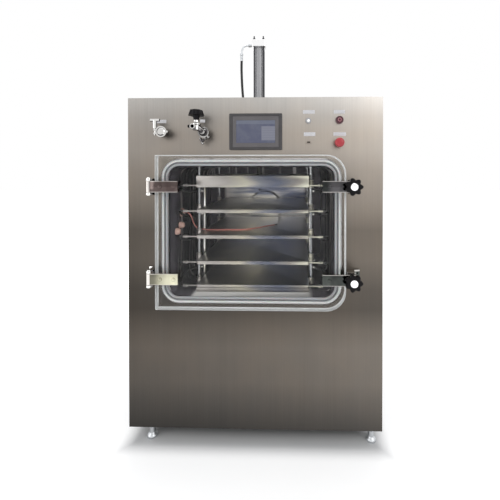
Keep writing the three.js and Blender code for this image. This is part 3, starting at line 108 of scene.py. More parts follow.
# %% Places
MM = 0.001
RIGHT, OUT, UP = Vector((1, 0, 0)), Vector((0, -1, 0)), Vector((0, 0, 1))
FLANGE_PROUD = 15
MOUTH_X, MOUTH_UP = -12, 847
MOUTH_WIDE, MOUTH_HIGH, MOUTH_ROUND = 688, 540, 45
MOUTH_LEFT, MOUTH_RIGHT = MOUTH_X - MOUTH_WIDE / 2, MOUTH_X + MOUTH_WIDE / 2
CHAMBER_FLOOR, CHAMBER_ROOF, CHAMBER_DEEP = MOUTH_UP - MOUTH_HIGH / 2, MOUTH_UP + MOUTH_HIGH / 2, 690
DOOR_HALF_WIDE, DOOR_HALF_HIGH, DOOR_ROUND, HINGE_ROUND = 388, 316, 80, 4
HINGE_X, ARM_OFFSET, SHELF_HALF = -421, 187, 243
front_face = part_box("chamber_shell")[0].y + FLANGE_PROUD * MM
lower_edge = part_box("front_panel")[0].z


def at(x, up, out):
    return Vector((x * MM, front_face - out * MM, lower_edge + up * MM))


print("front sheet at y", round(front_face, 4), "and its lower edge at z", round(lower_edge, 4))

# %% [markdown]
# ## Shader maths
# A finish is a sum of small patterns: grain, smudges, a wear line. In the node editor such a sum is a long
# chain of Math nodes. Here a small class wraps an output socket and overloads the arithmetic signs, so the
# same chain is written as one line and still ends up as ordinary nodes that can be changed by hand.

# %% Values
class Value:
    """An output socket of a finish that can be used in sums."""

    def __init__(self, finish, socket):
        self.finish, self.socket = finish, socket

    def maths(self, operation, *others):
        return self.finish.node("Math", {"operation": operation}, dict(enumerate((self, *others))))

    def __add__(self, other):
        return self.maths("ADD", other)

    def __sub__(self, other):
        return self.maths("SUBTRACT", other)

    def __rsub__(self, other):
        return (self * -1).maths("ADD", other)

    def __mul__(self, other):
        return self.maths("MULTIPLY", other)

    def __truediv__(self, other):
        return self.maths("DIVIDE", other)

    def __abs__(self):
        return self.maths("ABSOLUTE")

    __radd__, __rmul__ = __add__, __mul__

    def between(self, low, high):
        """0 at low, 1 at high, and a soft step in between."""
        return self.finish.node("MapRange", {"interpolation_type": "SMOOTHSTEP"},
                                {"Value": self, "From Min": low, "From Max": high})


print("values can be added, multiplied and stepped")

# %% [markdown]
# ## Finishes
# Each finish is one Principled material. What is the same all over the piece is set as a number on its
# socket, and what changes over it is fed by nodes. Every node is made by one method, which sets its choices
# first and then its sockets, so that the few helpers below can be read as recipes: a ramp of colours,
# drawn-out noise, a mix of two colours and a bump. Places come from Object coordinates, which stay with the
# piece as it moves.

# %% Finishes
class Finish:
    """A Principled material whose fixed values are set on its sockets and whose patterns are nodes."""

    def __init__(self, name, **fixed):
        self.material = bpy.data.materials.new(name)
        self.material.use_nodes = True
        self.tree = self.material.node_tree
        self.shader = self.tree.nodes["Principled BSDF"]
        for socket, value in fixed.items():
            self.preset(self.shader.inputs[socket.replace("_", " ")], value)
        self.place = self.node("TexCoord", output="Object")
        finishes[name] = self

    def preset(self, socket, value):
        socket.default_value = (*value, 1) if socket.type == "RGBA" else value

    def node(self, kind, settings=None, inputs=None, output=0):
        """A node of this kind: its settings come first, then a value or a link for each named socket."""
        made = self.tree.nodes.new("ShaderNode" + kind)
        for name, value in (settings or {}).items():
            if name == "stops":
                elements = made.color_ramp.elements
                while len(elements) < len(value):
                    elements.new(1)
                for element, (position, colour) in zip(elements, value):
                    element.position, element.color = position, (*colour, 1)
            else:
                setattr(made, name, value)
        for name, value in (inputs or {}).items():
            if isinstance(value, Value):
                self.tree.links.new(value.socket, made.inputs[name])
            else:
                self.preset(made.inputs[name], value)
        return Value(self, made.outputs[output])

    def ramp(self, share, stops):
        """A row of colours, one at each stop, with smooth changes in between."""
        return self.node("ValToRGB", {"stops": stops}, {"Fac": share})

    def feed(self, socket, value):
        self.tree.links.new(value.socket, self.shader.inputs[socket])

    def axis(self, index, source="Object"):
        """The place (or the normal) along x, y or z, for index 0, 1 or 2."""
        return self.node("SeparateXYZ", inputs={"Vector": self.node("TexCoord", output=source)}, output=index)

    def from_mouth(self, index):
        """The distance from the middle of the chamber's mouth along x or z, in metres."""
        return self.axis(index) - at(MOUTH_X, MOUTH_UP, 0)[index]

    def pattern(self, scale, stretch=(1, 1, 1), detail=3.0, shift=(0, 0, 0)):
        """Noise about 0 to 1, drawn out along an axis by a small number in stretch."""
        place = self.node("Mapping", inputs={"Vector": self.place, "Location": shift, "Scale": stretch})
        return self.node("TexNoise", inputs={"Vector": place, "Scale": scale, "Detail": detail,
                                             "Roughness": 0.55})

    def mixed(self, share, low, high):
        return self.node("Mix", {"data_type": "RGBA"}, {0: share, 6: low, 7: high}, output=2)

    def bumped(self, height, depth, strength=1.0):
        self.feed("Normal", self.node("Bump", inputs={"Height": height, "Distance": depth,
                                                      "Strength": strength}))


def length(a, b):
    return (a * a + b * b).maths("SQRT")


def scaled(colour, *factors):
    return tuple(c * f for c, f in zip(colour, factors * 3))


finishes = {}
print("a finish is a material, and its helpers make its nodes")

# %% [markdown]
# ## Brushed sheet
# The cabinet is folded from stainless sheet whose upright grain comes from a grinding belt. Grain could be
# real scratches, but at this scale thousands of them cost more than they show, so noise drawn out along the
# grain tints the steel, changes its roughness and lifts a bump of a few hundredths of a millimetre. Sheet
# is never one tone: it mirrors the room softly, and that reflection is painted into its colour, bright above
# and dark towards the floor, with a warm band low down. Hands and cloths leave faint clouds. The painted
# tone follows the height, and on the front a painted light makes it brighter to the right.

# %% Brushed sheet
CABINET_HEIGHT, CABINET_WIDTH, GRAIN_DEPTH = 1.41, 1.08, 0.00004


def brushed_sheet(name, tones, tint, painted_lean_to_right=0.0):
    """Brushed steel with painted reflection tones, each a height from 0 to 1 with its grey and how warm that
    grey is.
    """
    sheet = Finish(name, Metallic=1.0)
    height = (sheet.axis(2) - lower_edge) / CABINET_HEIGHT
    tone = sheet.ramp(height, [(stop, (grey * (1 + warmth), grey, grey * (1 - warmth)))
                               for stop, grey, warmth in tones])
    fine = sheet.pattern(420, (1, 1, 0.006), detail=4)
    broad = sheet.pattern(17, (1, 1, 0.04), detail=2)
    clouds = sheet.pattern(4.5, (1, 1, 0.7), detail=5)
    # Painted light: the tone grows towards the right, as if the sheet were lit from there.
    side = sheet.axis(0) / CABINET_WIDTH * painted_lean_to_right + 1
    light = side * (0.8 + fine * 0.22 + broad * 0.12) * (0.88 + clouds * 0.24)
    tinted = sheet.mixed(clouds.between(0.35, 0.7), tint, scaled(tint, 1.03, 1.0, 0.97))
    lit = sheet.node("VectorMath", {"operation": "SCALE"}, {0: tinted, "Scale": light})
    sheet.feed("Base Color", sheet.node("VectorMath", {"operation": "MULTIPLY"}, {0: lit, 1: tone}))
    sheet.feed("Roughness", 0.27 + fine * 0.14 + clouds * 0.06)
    sheet.bumped(fine, GRAIN_DEPTH, 0.5)


# Painted reflection: bright high up, dark towards the floor, with a warm band low down.
FRONT_PAINTED_REFLECTION = [(0.0, 0.060, 0.03), (0.06, 0.085, 0.05), (0.14, 0.116, 0.08), (0.245, 0.114, 0.09),
               (0.303, 0.090, 0.10), (0.363, 0.058, 0.09), (0.423, 0.063, 0.09), (0.512, 0.099, 0.11),
               (0.602, 0.098, 0.10), (0.692, 0.175, 0.09), (0.782, 0.23, 0.08), (0.842, 0.29, 0.06),
               (0.89, 0.31, 0.06), (0.94, 0.36, 0.03), (1.0, 0.50, 0)]
SIDE_PAINTED_REFLECTION = [(0.0, 0.20, 0), (0.3, 0.28, 0.03), (0.7, 0.42, 0), (1.0, 0.62, 0)]
brushed_sheet("front_sheet", FRONT_PAINTED_REFLECTION, (1.0, 0.965, 0.92), painted_lean_to_right=0.62)
brushed_sheet("brushed_sheet", SIDE_PAINTED_REFLECTION, (1.0, 0.97, 0.935))
brushed_sheet("roof_sheet", [(0.0, 0.20, 0), (1.0, 0.21, 0)], (1.0, 0.97, 0.935))
print("brushed sheet for the front, the sides and the roof")

# %% [markdown]
# ## Steel and aluminium
# The other metals differ in how they were worked. Rolled mirror sheet is never flat, so its reflections
# wander: a slow bump does that. A polished casting keeps fine scratches, blasted or anodised parts are dull
# and even, chrome on a rod is nearly perfect, and zinc has a cloudy bloom. One recipe with a few numbers
# covers them all.

# %% Steel and aluminium
def metal(name, tone, roughness, wander=0.0, scratch=0.00002, bloom=0.06, grain=260):
    """Plain worked metal: wander is a slow wave of rolled sheet, scratch the depth of fine marks."""
    worked = Finish(name, Metallic=1.0)
    clouds, fine = worked.pattern(7, detail=4), worked.pattern(grain)
    share = clouds.between(0.3, 0.7) * 0.8 + fine * 0.2
    worked.feed("Base Color", worked.mixed(share, scaled(tone, 1 - bloom), scaled(tone, 1 + bloom)))
    worked.feed("Roughness", roughness + (fine - 0.5) * (roughness * 0.5) + clouds * 0.03)
    if wander:
        worked.bumped(worked.pattern(4, detail=1.0), wander)
    else:
        worked.bumped(fine, scratch, 0.6)


metal("mirror_steel", (0.66, 0.645, 0.61), 0.07, wander=0.0016, bloom=0.08)
metal("polished_steel", (0.70, 0.69, 0.665), 0.11, scratch=0.00003)
metal("satin_steel", (0.60, 0.59, 0.57), 0.30, scratch=0.00003)
metal("zinc_steel", (0.62, 0.64, 0.66), 0.36, bloom=0.14, grain=120)
metal("hard_chrome", (0.28, 0.28, 0.285), 0.07, scratch=0.00001, bloom=0.02)
metal("anodised_aluminium", (0.72, 0.735, 0.75), 0.30, bloom=0.04, grain=600)
metal("fin_aluminium", (0.66, 0.67, 0.68), 0.38, bloom=0.10)
metal("flange_steel", (0.33, 0.32, 0.32), 0.16, scratch=0.00003)
metal("honed_tube", (0.34, 0.34, 0.35), 0.55, grain=500)
metal("black_oxide", (0.055, 0.055, 0.06), 0.34, bloom=0.2)
metal("bright_cap", (0.93, 0.93, 0.93), 0.22, bloom=0.02)
print(len(finishes), "metals")

# %% [markdown]
# ## Chamber walls
# Mirror-polished steel has hardly a colour of its own: it shows dark corners, warm walls and cool windows
# side by side. The studio here is plain, so that variety is painted into the finishes of the polished pieces
# as painted reflection and shade. The chamber's side walls are painted dark with upright streaks of
# reflection, its floor is painted dark beside the shelves, and its back wall, seen behind the shelves, has
# broad bright bands of painted reflection.

# %% Chamber walls
def mirror(name, roughness, wander=0.0):
    """Polished steel that still needs the colours of what it mirrors."""
    polished = Finish(name, Metallic=1.0)
    polished.feed("Roughness", polished.pattern(7) * 0.02 + roughness)
    if wander:
        polished.bumped(polished.pattern(4, detail=1.0), wander)
    return polished


walls = mirror("chamber_mirror", 0.28, wander=0.003)
# Painted reflection and shade: bright bands on the back wall, pale streaks on dark side walls, a dark floor
# beside the rack.
painted_reflection_bands = walls.pattern(4.2, (0.4, 1, 2.6), shift=(0.3, 0, 0.1)).between(0.42, 0.56)
painted_reflection_streaks = walls.pattern(26, (1, 1, 0.06), detail=4).between(0.53, 0.70)
behind_rack = 1 - abs(walls.from_mouth(0)).between(0.235, 0.262)
above = walls.from_mouth(2)
side_wall = walls.mixed(painted_reflection_streaks, (0.05, 0.044, 0.052), (0.62, 0.58, 0.57))
back_wall = walls.mixed(painted_reflection_bands, (0.17, 0.185, 0.26), (0.95, 0.90, 0.85))
upright = walls.mixed((1 - above.between(0.12, 0.21)) * behind_rack, side_wall, back_wall)
floor = walls.mixed(behind_rack, (0.07, 0.062, 0.072), (0.60, 0.58, 0.56))
walls.feed("Base Color", walls.mixed(above.between(-0.268, -0.262), floor, upright))
print("chamber walls, with", len(walls.tree.nodes), "nodes")

# %% [markdown]
# ## Shelf faces
# Along its width a polished shelf mirrors a room that goes from warm to cool, and that reflection is painted
# into its colour. Its edge sees the room in front and its flat faces see the next shelf, so each has its own
# row of painted reflection tones, and the normal chooses between them. Noise shifts the rows a little,
# because no two shelves mirror the same place.

# %% Shelf faces
EDGE_PAINTED_REFLECTION = [(0.0, (0.38, 0.35, 0.33)), (0.18, (0.29, 0.27, 0.25)), (0.38, (0.40, 0.37, 0.30)),
              (0.52, (0.17, 0.17, 0.19)), (0.70, (0.085, 0.095, 0.13)), (0.88, (0.22, 0.20, 0.18)),
              (1.0, (0.50, 0.48, 0.39))]
FLAT_PAINTED_REFLECTION = [(0.0, (0.40, 0.38, 0.36)), (0.22, (0.84, 0.80, 0.70)), (0.45, (0.97, 0.93, 0.79)),
              (0.60, (0.62, 0.61, 0.60)), (0.76, (0.34, 0.37, 0.47)), (0.95, (0.42, 0.42, 0.45))]
shelves = mirror("shelf_mirror", 0.275)
# Painted reflection: the tones along the width stand for the room each face would mirror.
drift = (shelves.pattern(2.6, (0.5, 0.8, 5), detail=2) - 0.5) * 0.75
along = shelves.from_mouth(0) / (2 * SHELF_HALF * MM) + 0.5 + drift
level = abs(shelves.axis(2, "Normal")).between(0.6, 0.9)
shelves.feed("Base Color", shelves.mixed(level, shelves.ramp(along, EDGE_PAINTED_REFLECTION),
                                         shelves.ramp(along, FLAT_PAINTED_REFLECTION)))
print("shelf faces, with", len(EDGE_PAINTED_REFLECTION), "tones on the edge and", len(FLAT_PAINTED_REFLECTION), "on the flat")

# %% [markdown]
# ## Hinge and clamp arms
# The four polished arms are bars of one kind that mirror different things: the lower left one a bright
# window, the upper left one a dark warm wall, and those at the right hardly anything. These reflections are
# painted: the position on the machine mixes their tones, and the broken edges and the barrels of the
# hinges get a paler painted highlight where they would catch the lamps.

# %% Hinge and clamp arms
arms = mirror("arm_steel", 0.09)
x, from_middle = arms.axis(0), arms.from_mouth(2)
high = from_middle.between(-0.05, 0.05)
painted_reflection_streaks = arms.pattern(14, (1, 1, 0.25)).between(0.35, 0.65)
# Painted reflection: a bright window on the lower left arm, a dark warm wall on the upper left one, dark on
# the right.
lower_left_reflection = arms.mixed(x.between(-0.405, -0.335) * (painted_reflection_streaks * 0.4 + 0.6), (0.13, 0.125, 0.095),
                        (0.72, 0.70, 0.52))
upper_left_reflection = arms.mixed(painted_reflection_streaks, (0.075, 0.055, 0.052), (0.17, 0.14, 0.13))
sheen = arms.mixed(high, (0.075, 0.082, 0.075), (0.095, 0.09, 0.095))
tone = arms.mixed(x.between(-0.05, 0.05), arms.mixed(high, lower_left_reflection, upper_left_reflection),
                  arms.mixed(painted_reflection_streaks, (0.028, 0.030, 0.029), sheen))
# Painted highlight on the broken edges and on the hinge barrels.
rim = abs(abs(from_middle) - ARM_OFFSET * MM).between(0.0195, 0.0212)
barrel_highlight = 1 - abs(x - HINGE_X * MM).between(0.0045, 0.0075)
arms.feed("Base Color", arms.mixed((rim * 0.6).maths("MAXIMUM", barrel_highlight), tone, (0.60, 0.57, 0.54)))
print("arms, with", len(arms.tree.nodes), "nodes")

# %% [markdown]
# ## Small turned fittings
# Clamps, ferrules and the valve are turned and polished. Whatever they mirror, such parts read as bright
# above and in front and dark below and at their sides, so the normal of the surface chooses a painted
# highlight or painted shade for them, and the inlet's bore is painted black as shade.

# %% Small turned fittings
INLET, INLET_BORE = at(-234.5, 1273, 92), 6.6 * MM


def turned_mirror(name, front_dark, front_bright):
    """Painted highlight above and in front, painted shade below and at the sides, and painted black shade
    inside the inlet's bore.
    """
    fitting = mirror(name, 0.05)
    ny, nz = fitting.axis(1, "Normal"), fitting.axis(2, "Normal")
    broken = fitting.pattern(48, detail=1.5) * 0.5 - 0.25
    # Painted highlight and shade, chosen by the surface normal.
    front = (broken - ny).between(front_dark, front_bright)
    tone = fitting.mixed(front, (0.055, 0.05, 0.052), (0.66, 0.65, 0.63))
    tone = fitting.mixed((nz + broken).between(0.25, 0.60), tone, (0.88, 0.87, 0.86))
    tone = fitting.mixed((broken - nz).between(0.25, 0.60), tone, (0.045, 0.042, 0.045))
    # Painted shade: the inside of the inlet's bore is coloured black.
    off_axis = length(fitting.axis(0) - INLET.x, fitting.axis(2) - INLET.z)
    outside_bore = off_axis.between(INLET_BORE - 0.0001, INLET_BORE + 0.0003)
    fitting.feed("Base Color", fitting.mixed(outside_bore, (0.006, 0.006, 0.006), tone))


turned_mirror("valve_steel", 0.30, 0.72)
turned_mirror("clamp_steel", 0.85, 1.2)
print(len(finishes), "finishes so far")

# %% [markdown]
# ## Plastics, rubber and paint
# Moulded plastic has a fine even grain, rubber a dull dusty one, and sprayed paint the soft dimples of
# orange peel. The same recipe makes them with another size of bump. Silicone lets a little light in. The
# groove between the seal's two lips is painted dark as shade, and its outer lip is painted paler as a
# highlight.

# %% Plastics, rubber and paint
def moulded(name, colour, roughness, grain, depth=0.00003, dust=0.0, **fixed):
    part = Finish(name, **fixed)
    fine, clouds = part.pattern(grain, detail=2), part.pattern(18, detail=4)
    dusty = tuple(c + dust * (0.5 - c * 0.5) for c in colour)
    part.feed("Base Color", part.mixed(clouds.between(0.3, 0.75), scaled(colour, 0.9), dusty))
    part.feed("Roughness", roughness + (clouds - 0.5) * 0.16 + fine * 0.04)
    part.bumped(fine, depth, 0.5)
    return part


moulded("dark_plastic", (0.062, 0.058, 0.060), 0.46, 900, 0.00006, dust=0.02)
moulded("frame_plastic", (0.155, 0.145, 0.15), 0.42, 900, 0.00006, dust=0.02)
moulded("black_plastic", (0.006, 0.005, 0.006), 0.40, 500, 0.0001, dust=0.006, Specular_IOR_Level=0.12)
moulded("red_plastic", (0.62, 0.055, 0.07), 0.30, 700)
moulded("pink_glow", (0.50, 0.20, 0.23), 0.30, 700)
moulded("lit_red", (0.085, 0.008, 0.022), 0.22, 700, Coat_Weight=0.4)
moulded("black_rubber", (0.012, 0.012, 0.012), 0.62, 420, 0.00025, dust=0.02)
moulded("pink_rubber", (0.66, 0.22, 0.18), 0.45, 500, 0.0001, dust=0.05)
moulded("bung_rubber", (0.72, 0.44, 0.36), 0.50, 300, 0.0002, dust=0.10)
moulded("black_paint", (0.018, 0.018, 0.020), 0.38, 130, 0.0002, dust=0.03)
moulded("white_paint", (0.74, 0.74, 0.73), 0.40, 130, 0.0002)
moulded("label_film", (0.90, 0.89, 0.91), 0.38, 600)


def outside_of(finish, half_wide, half_high, corner):
    """How far a place lies outside a rounded rectangle about the mouth's middle, in metres."""
    past = [(corner + (abs(finish.from_mouth(index)) - half * MM)).maths("MAXIMUM", 0.0)
            for index, half in ((0, half_wide), (2, half_high))]
    return length(*past) - corner


rubber = moulded("silicone", (0.38, 0.378, 0.388), 0.42, 160, 0.0001, Subsurface_Weight=0.15,
                 Subsurface_Scale=0.01)
grown = outside_of(rubber, MOUTH_WIDE / 2, MOUTH_HIGH / 2, MOUTH_ROUND * MM)
# Painted shade in the groove between the lips, and a painted highlight on the outer lip.
groove_shade = grown.between(0.0095, 0.0115) * (1 - grown.between(0.0165, 0.0185))
lip_highlight = rubber.mixed(grown.between(0.0175, 0.0195), (0.34, 0.338, 0.35), (0.60, 0.60, 0.59))
rubber.feed("Base Color", rubber.mixed(groove_shade, lip_highlight, (0.10, 0.10, 0.103)))
print(len(finishes), "finishes so far")

# %% [markdown]
# ## Clear door
# The door is one cast acrylic plate nearly 40 mm thick. Real refraction matters here, because the polished
# edges gather light and shine. In a white studio its front would mirror so much white that the dark chamber
# went grey, so the plate gets a lower index than acrylic has. Lamps can't be traced through refraction, so
# for their rays alone the plate is swapped for a transparent tint, and the chamber behind it is lit as it
# should be. Wiping leaves faint smears, and the sawn edge, polished by hand, still scatters light and shows
# as a pale line.

# %% Clear door
CLEAR = (0.955, 0.965, 0.965)
pane = Finish("clear_acrylic", Base_Color=CLEAR, Transmission_Weight=1.0, IOR=1.22)
smears = pane.pattern(6, (1, 1, 0.35), detail=5)
pane.feed("Roughness", smears.between(0.55, 0.8) * 0.03 + 0.008)
free_side = pane.from_mouth(0).between(-0.05, 0.05)
corner = free_side * (DOOR_ROUND - HINGE_ROUND) * MM + HINGE_ROUND * MM
depth_in = outside_of(pane, DOOR_HALF_WIDE, DOOR_HALF_HIGH, corner) * -1
rim = (1 - depth_in.between(0.0026, 0.0034)) * 0.7
sawn = pane.node("BsdfPrincipled", inputs={"Base Color": (0.92, 0.93, 0.93), "Roughness": 0.35})
cast = pane.node("MixShader", inputs={0: rim, 1: Value(pane, pane.shader.outputs[0]), 2: sawn})
lamp_ray = pane.node("LightPath", output="Is Shadow Ray")
through = pane.node("BsdfTransparent", inputs={"Color": CLEAR})
both = pane.node("MixShader", inputs={0: lamp_ray, 1: cast, 2: through})
pane.tree.links.new(both.socket, pane.tree.nodes["Material Output"].inputs["Surface"])
print("clear acrylic for the door")

# %% [markdown]
# ## The screen's picture
# The screen glows a little behind its glass, and it shows what such a controller shows: a dim field at the
# left for the curve of a run, a paler panel of values at the right and a band along the top. Soft steps
# along the width and the height make these fields, so that no picture file is needed, and there is nothing
# to read on them.

# %% Screen
glass = Finish("display_glass", Roughness=0.08, Coat_Weight=0.6, Coat_Roughness=0.03, Emission_Strength=0.30)
near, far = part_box("display_glass")
across, height = (glass.axis(0) - near.x) / (far.x - near.x), (glass.axis(2) - near.z) / (far.z - near.z)
panel = across.between(0.64, 0.66) * height.between(0.10, 0.13) * (1 - height.between(0.72, 0.75))
lines = (height * 60).maths("SINE").between(0.2, 0.9) * panel
picture = glass.mixed(glass.pattern(30, detail=2).between(0.3, 0.7), (0.060, 0.068, 0.125),
                      (0.085, 0.095, 0.145))
for share, colour in ((height.between(0.82, 0.85) * 0.5, (0.15, 0.17, 0.22)),
                      (panel * 0.85, (0.19, 0.195, 0.245)), (lines * 0.3, (0.10, 0.11, 0.15))):
    picture = glass.mixed(share, picture, colour)
glass.feed("Base Color", picture)
glass.feed("Emission Color", picture)
print("a dim picture for the screen")

# %% [markdown]
# ## Putting the finishes on
# Every piece that keeps its own shape gets the finish its record names. The front sheet has its own painted
# reflection tones, and the chamber walls are painted darker than the shelves, because what they mirror is
# mostly each other.

# %% Putting the finishes on
OWN_FINISH = {"front_sheet": ["front_panel"],
              "roof_sheet": ["top_panel"],
              "chamber_mirror": ["chamber_shell", "vapour_baffle"],
              "clamp_steel": ["vent_clamp", "vent_clamp_nut"],
              "valve_steel": ["sample_ferrule", "sample_clamp", "sample_clamp_nut", "vent_ferrule",
                              "vent_valve_body"],
              "arm_steel": ["upper_clamp_bracket", "lower_clamp_bracket"]}
own_finish = {name: kind for kind, names in OWN_FINISH.items() for name in names}
for name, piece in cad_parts.items():
    for slot in piece.material_slots:
        kind = own_finish.get(name, slot.material.name.split(".")[0])
        slot.material = finishes[kind].material
print("finishes on", len(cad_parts), "pieces")

# %% [markdown]
# ## Making a piece
# A finer piece is worked in a bmesh, as on a bench: a block or a turned shape is made and its edges are
# broken. When it is finished it leaves the bench as an object that rides one body of the machine and may
# stand for plain pieces, which it replaces. Curved faces are shaded smooth and every edge sharper than the
# given angle stays crisp.

# %% Making a piece
bench = bmesh.new()


def finished(name, finish, *stands_for, body="cabinet", slot=None, crisp=40):
    """Takes what is on the bench off it, as one piece that stands for the named plain ones."""
    bmesh.ops.remove_doubles(bench, verts=bench.verts, dist=0.000002)
    bmesh.ops.recalc_face_normals(bench, faces=bench.faces)
    mesh = bpy.data.meshes.new(name)
    bench.to_mesh(mesh)
    bench.clear()
    mesh.shade_smooth()
    mesh.set_sharp_from_angle(angle=math.radians(crisp))
    mesh.materials.append(finishes[finish].material)
    piece = put(name, mesh)
    if body:
        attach(piece, body)
    if stands_for:
        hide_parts(*stands_for)
    print(name, "on", body or "two bodies", "with", len(mesh.polygons), "faces")
    return piece


print("an empty bench with", len(bench.verts), "points on it")

# %% [markdown]
# ## Bench tools
# Most pieces of such a machine are milled or turned, and the tools follow that: a block with broken edges,
# a plate with rounded corners and a lathe that spins an outline about an axis. The small bevels matter more
# than they cost, because only a broken edge catches a line of light. A nut is a turned piece with six
# steps.

# %% Bench tools
def break_edges(edges, size, steps=2):
    return bmesh.ops.bevel(bench, geom=list(edges), offset=size * MM, segments=steps, profile=0.5,
                           affect="EDGES", material=-1, clamp_overlap=True)


def box(low, high):
    """A plain box between two places given as right, up and out. Returns its corners and middle."""
    a, b = at(*low), at(*high)
    middle, size = (a + b) / 2, [abs(q - p) for p, q in zip(a, b)]
    made = bmesh.ops.create_cube(bench, size=1, matrix=Matrix.Translation(middle) @
                                 Matrix.Diagonal((*size, 1)))
    return made["verts"], middle


def block(low, high, edge, steps=2):
    """A box with broken edges."""
    break_edges({e for v in box(low, high)[0] for e in v.link_edges}, edge, steps)


def plate(low, high, corners, edge=0.0, steps=10, rim=3, axis=1):
    """A slab with rounded corners, seen from the front (axis 1) or from above (axis 2)."""
    verts, middle = box(low, high)
    verts, other = set(verts), 2 if axis == 1 else 1
    uprights = [e for v in verts for e in v.link_edges if abs((e.verts[0].co - e.verts[1].co)[axis]) > 1e-7]
    for radius, (i, j) in zip(corners, ((-1, -1), (1, -1), (1, 1), (-1, 1))):
        here = [e for e in set(uprights) if e.is_valid and
                (e.verts[0].co[0] - middle[0]) * i > 0 and (e.verts[0].co[other] - middle[other]) * j > 0]
        uprights = [e for e in uprights if e not in here]
        if radius:
            verts |= set(break_edges(here, radius, steps)["verts"])
    if edge:
        faces = {f for v in verts if v.is_valid for f in v.link_faces}
        ends = [f for f in faces if abs(f.normal[axis]) > 0.99]
        break_edges({e for f in ends for e in f.edges}, edge, rim)


def turned(outline, centre, axis=OUT, steps=48, bore=0):
    """An outline of (radius, distance) turned about an axis, as on a lathe, and closed towards its bore."""
    first, last = outline[0], outline[-1]
    outline = [(bore, first[1]), *outline] + [(bore, last[1])] * (last[0] != bore)
    side = RIGHT if abs(axis.x) < 0.9 else UP
    points = [bench.verts.new(centre + side * (r * MM) + axis * (d * MM)) for r, d in outline]
    edges = [bench.edges.new(pair) for pair in zip(points, points[1:])]
    if bore:
        edges.append(bench.edges.new((points[-1], points[0])))
    bmesh.ops.spin(bench, geom=points + edges, cent=centre, axis=axis, angle=2 * math.pi, steps=steps,
                   use_merge=True)


def bar(radius, low, high, foot=0, ease=0):
    """The outline of a plain turned bar, with its low and its high rim cut off by so much."""
    start = [(radius - foot, low), (radius, low + foot)] if foot else [(radius, low)]
    return start + ([(radius, high - ease), (radius - ease, high)] if ease else [(radius, high)])


def nut(centre, low, across, thick):
    turned(bar(across / 2 / math.cos(math.pi / 6), low, low + thick, foot=0.7, ease=1), centre, UP, steps=6)


print("bench tools: block, plate, turned, bar, nut")

# %% [markdown]
# ## Bent lines
# A hose or a lead is a line through a few places that is given a thickness. A line that only joined the
# places would have corners, so each stretch becomes a Bezier that leaves and arrives in step with its
# neighbours. A curve object with a round bevel makes the tube, and it is turned into a mesh at once.

# %% Bent lines
LINE_STEPS = 8


def smooth_line(points):
    """A smooth line through a few places, as a list of close points."""
    ends = [2 * points[0] - points[1], *points, 2 * points[-1] - points[-2]]
    line = [points[0]]
    for before, start, end, after in zip(ends, ends[1:], ends[2:], ends[3:]):
        reach = (end - start).length / 3
        line += interpolate_bezier(start, start + (end - before).normalized() * reach,
                                   end - (after - start).normalized() * reach, end, LINE_STEPS + 1)[1:]
    return line


def tube(points, radius, resolution):
    """A round tube along a smooth line through points, given as right, up and out. Returns that line."""
    line = smooth_line([at(*p) for p in points])
    curve = bpy.data.curves.new("tube_line", "CURVE")
    curve.dimensions, curve.use_fill_caps = "3D", True
    curve.bevel_depth, curve.bevel_resolution = radius * MM, resolution
    spline = curve.splines.new("POLY")
    spline.points.add(len(line) - 1)
    for point, place in zip(spline.points, line):
        point.co = (*place, 1)
    holder = bpy.data.objects.new("tube_line", curve)
    mesh = bpy.data.meshes.new_from_object(holder)
    bench.from_mesh(mesh)
    bpy.data.objects.remove(holder)
    bpy.data.curves.remove(curve)
    bpy.data.meshes.remove(mesh)
    return line


# %% [markdown]
# ## The product probe
# A thin pink lead measures the goods. It leaves a rubber bung in the chamber's left wall, drops in a slack
# bow and lies loosely on the middle shelf, with a steel tip at its end. That shelf sinks when the ram
# presses the stack. It comes first, because a lead has one true length.

# %% Product probe
LEAD_RADIUS, LEAD_UP = 2.4, 823.2
LEAD_PLACES = [(-346.7, 906, -142), (-332.7, 906, -142), (-320, 902, -141), (-308, 888, -140),
               (-298, 862, -138), (-284, 838, -141), (-266, LEAD_UP + 7, -148),
               (-246, LEAD_UP + 1.5, -154), (-210, LEAD_UP, -162), (-150, LEAD_UP, -168),
               (-100, LEAD_UP, -166), (-60, LEAD_UP, -176), (-10, LEAD_UP, -218), (30, LEAD_UP, -270),
               (62, LEAD_UP, -306), (80, LEAD_UP, -322)]
lead_line = tube(LEAD_PLACES, LEAD_RADIUS, resolution=4)
lead_length = sum((b - a).length for a, b in zip(lead_line, lead_line[1:]))
probe_lead = finished("probe_lead", "pink_rubber", "probe_cable", body=None)
at(-262, 826, -148)
at(-346, 906, -142)
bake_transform(probe_lead)
tube([(66, LEAD_UP, -309.6), (72, LEAD_UP, -314.9), (80, LEAD_UP, -322)], 2.6, resolution=5)
probe_tip = finished("probe_tip", "bright_cap", body="rack_shelf_2", slot="polished_steel")
print("probe lead", round(lead_length, 3), "m long")

# %% [markdown]
# ## The chamber
# The product lies in a welded vessel of mirror-polished sheet with rounded corners, so that it can be wiped
# clean. A thick flange round its mouth carries the door seal, and a round port in the back wall leads to
# the cold trap. The tunnel starts as a rounded slab whose front is taken off. Its back rim is bridged to
# the port's circle, which gives a flat wall with a true round hole, and a Solidify modifier gives the sheet
# its thickness outwards.

# %% Chamber
PORT_UP, PORT_RADIUS, NECK_LONG, WALL = 873, 104, 50, 5


def verts_in(made):
    return [g for g in made if isinstance(g, bmesh.types.BMVert)]


def rim_of(verts):
    inside = set(verts)
    return [e for e in {e for v in verts for e in v.link_edges} if set(e.verts) <= inside]


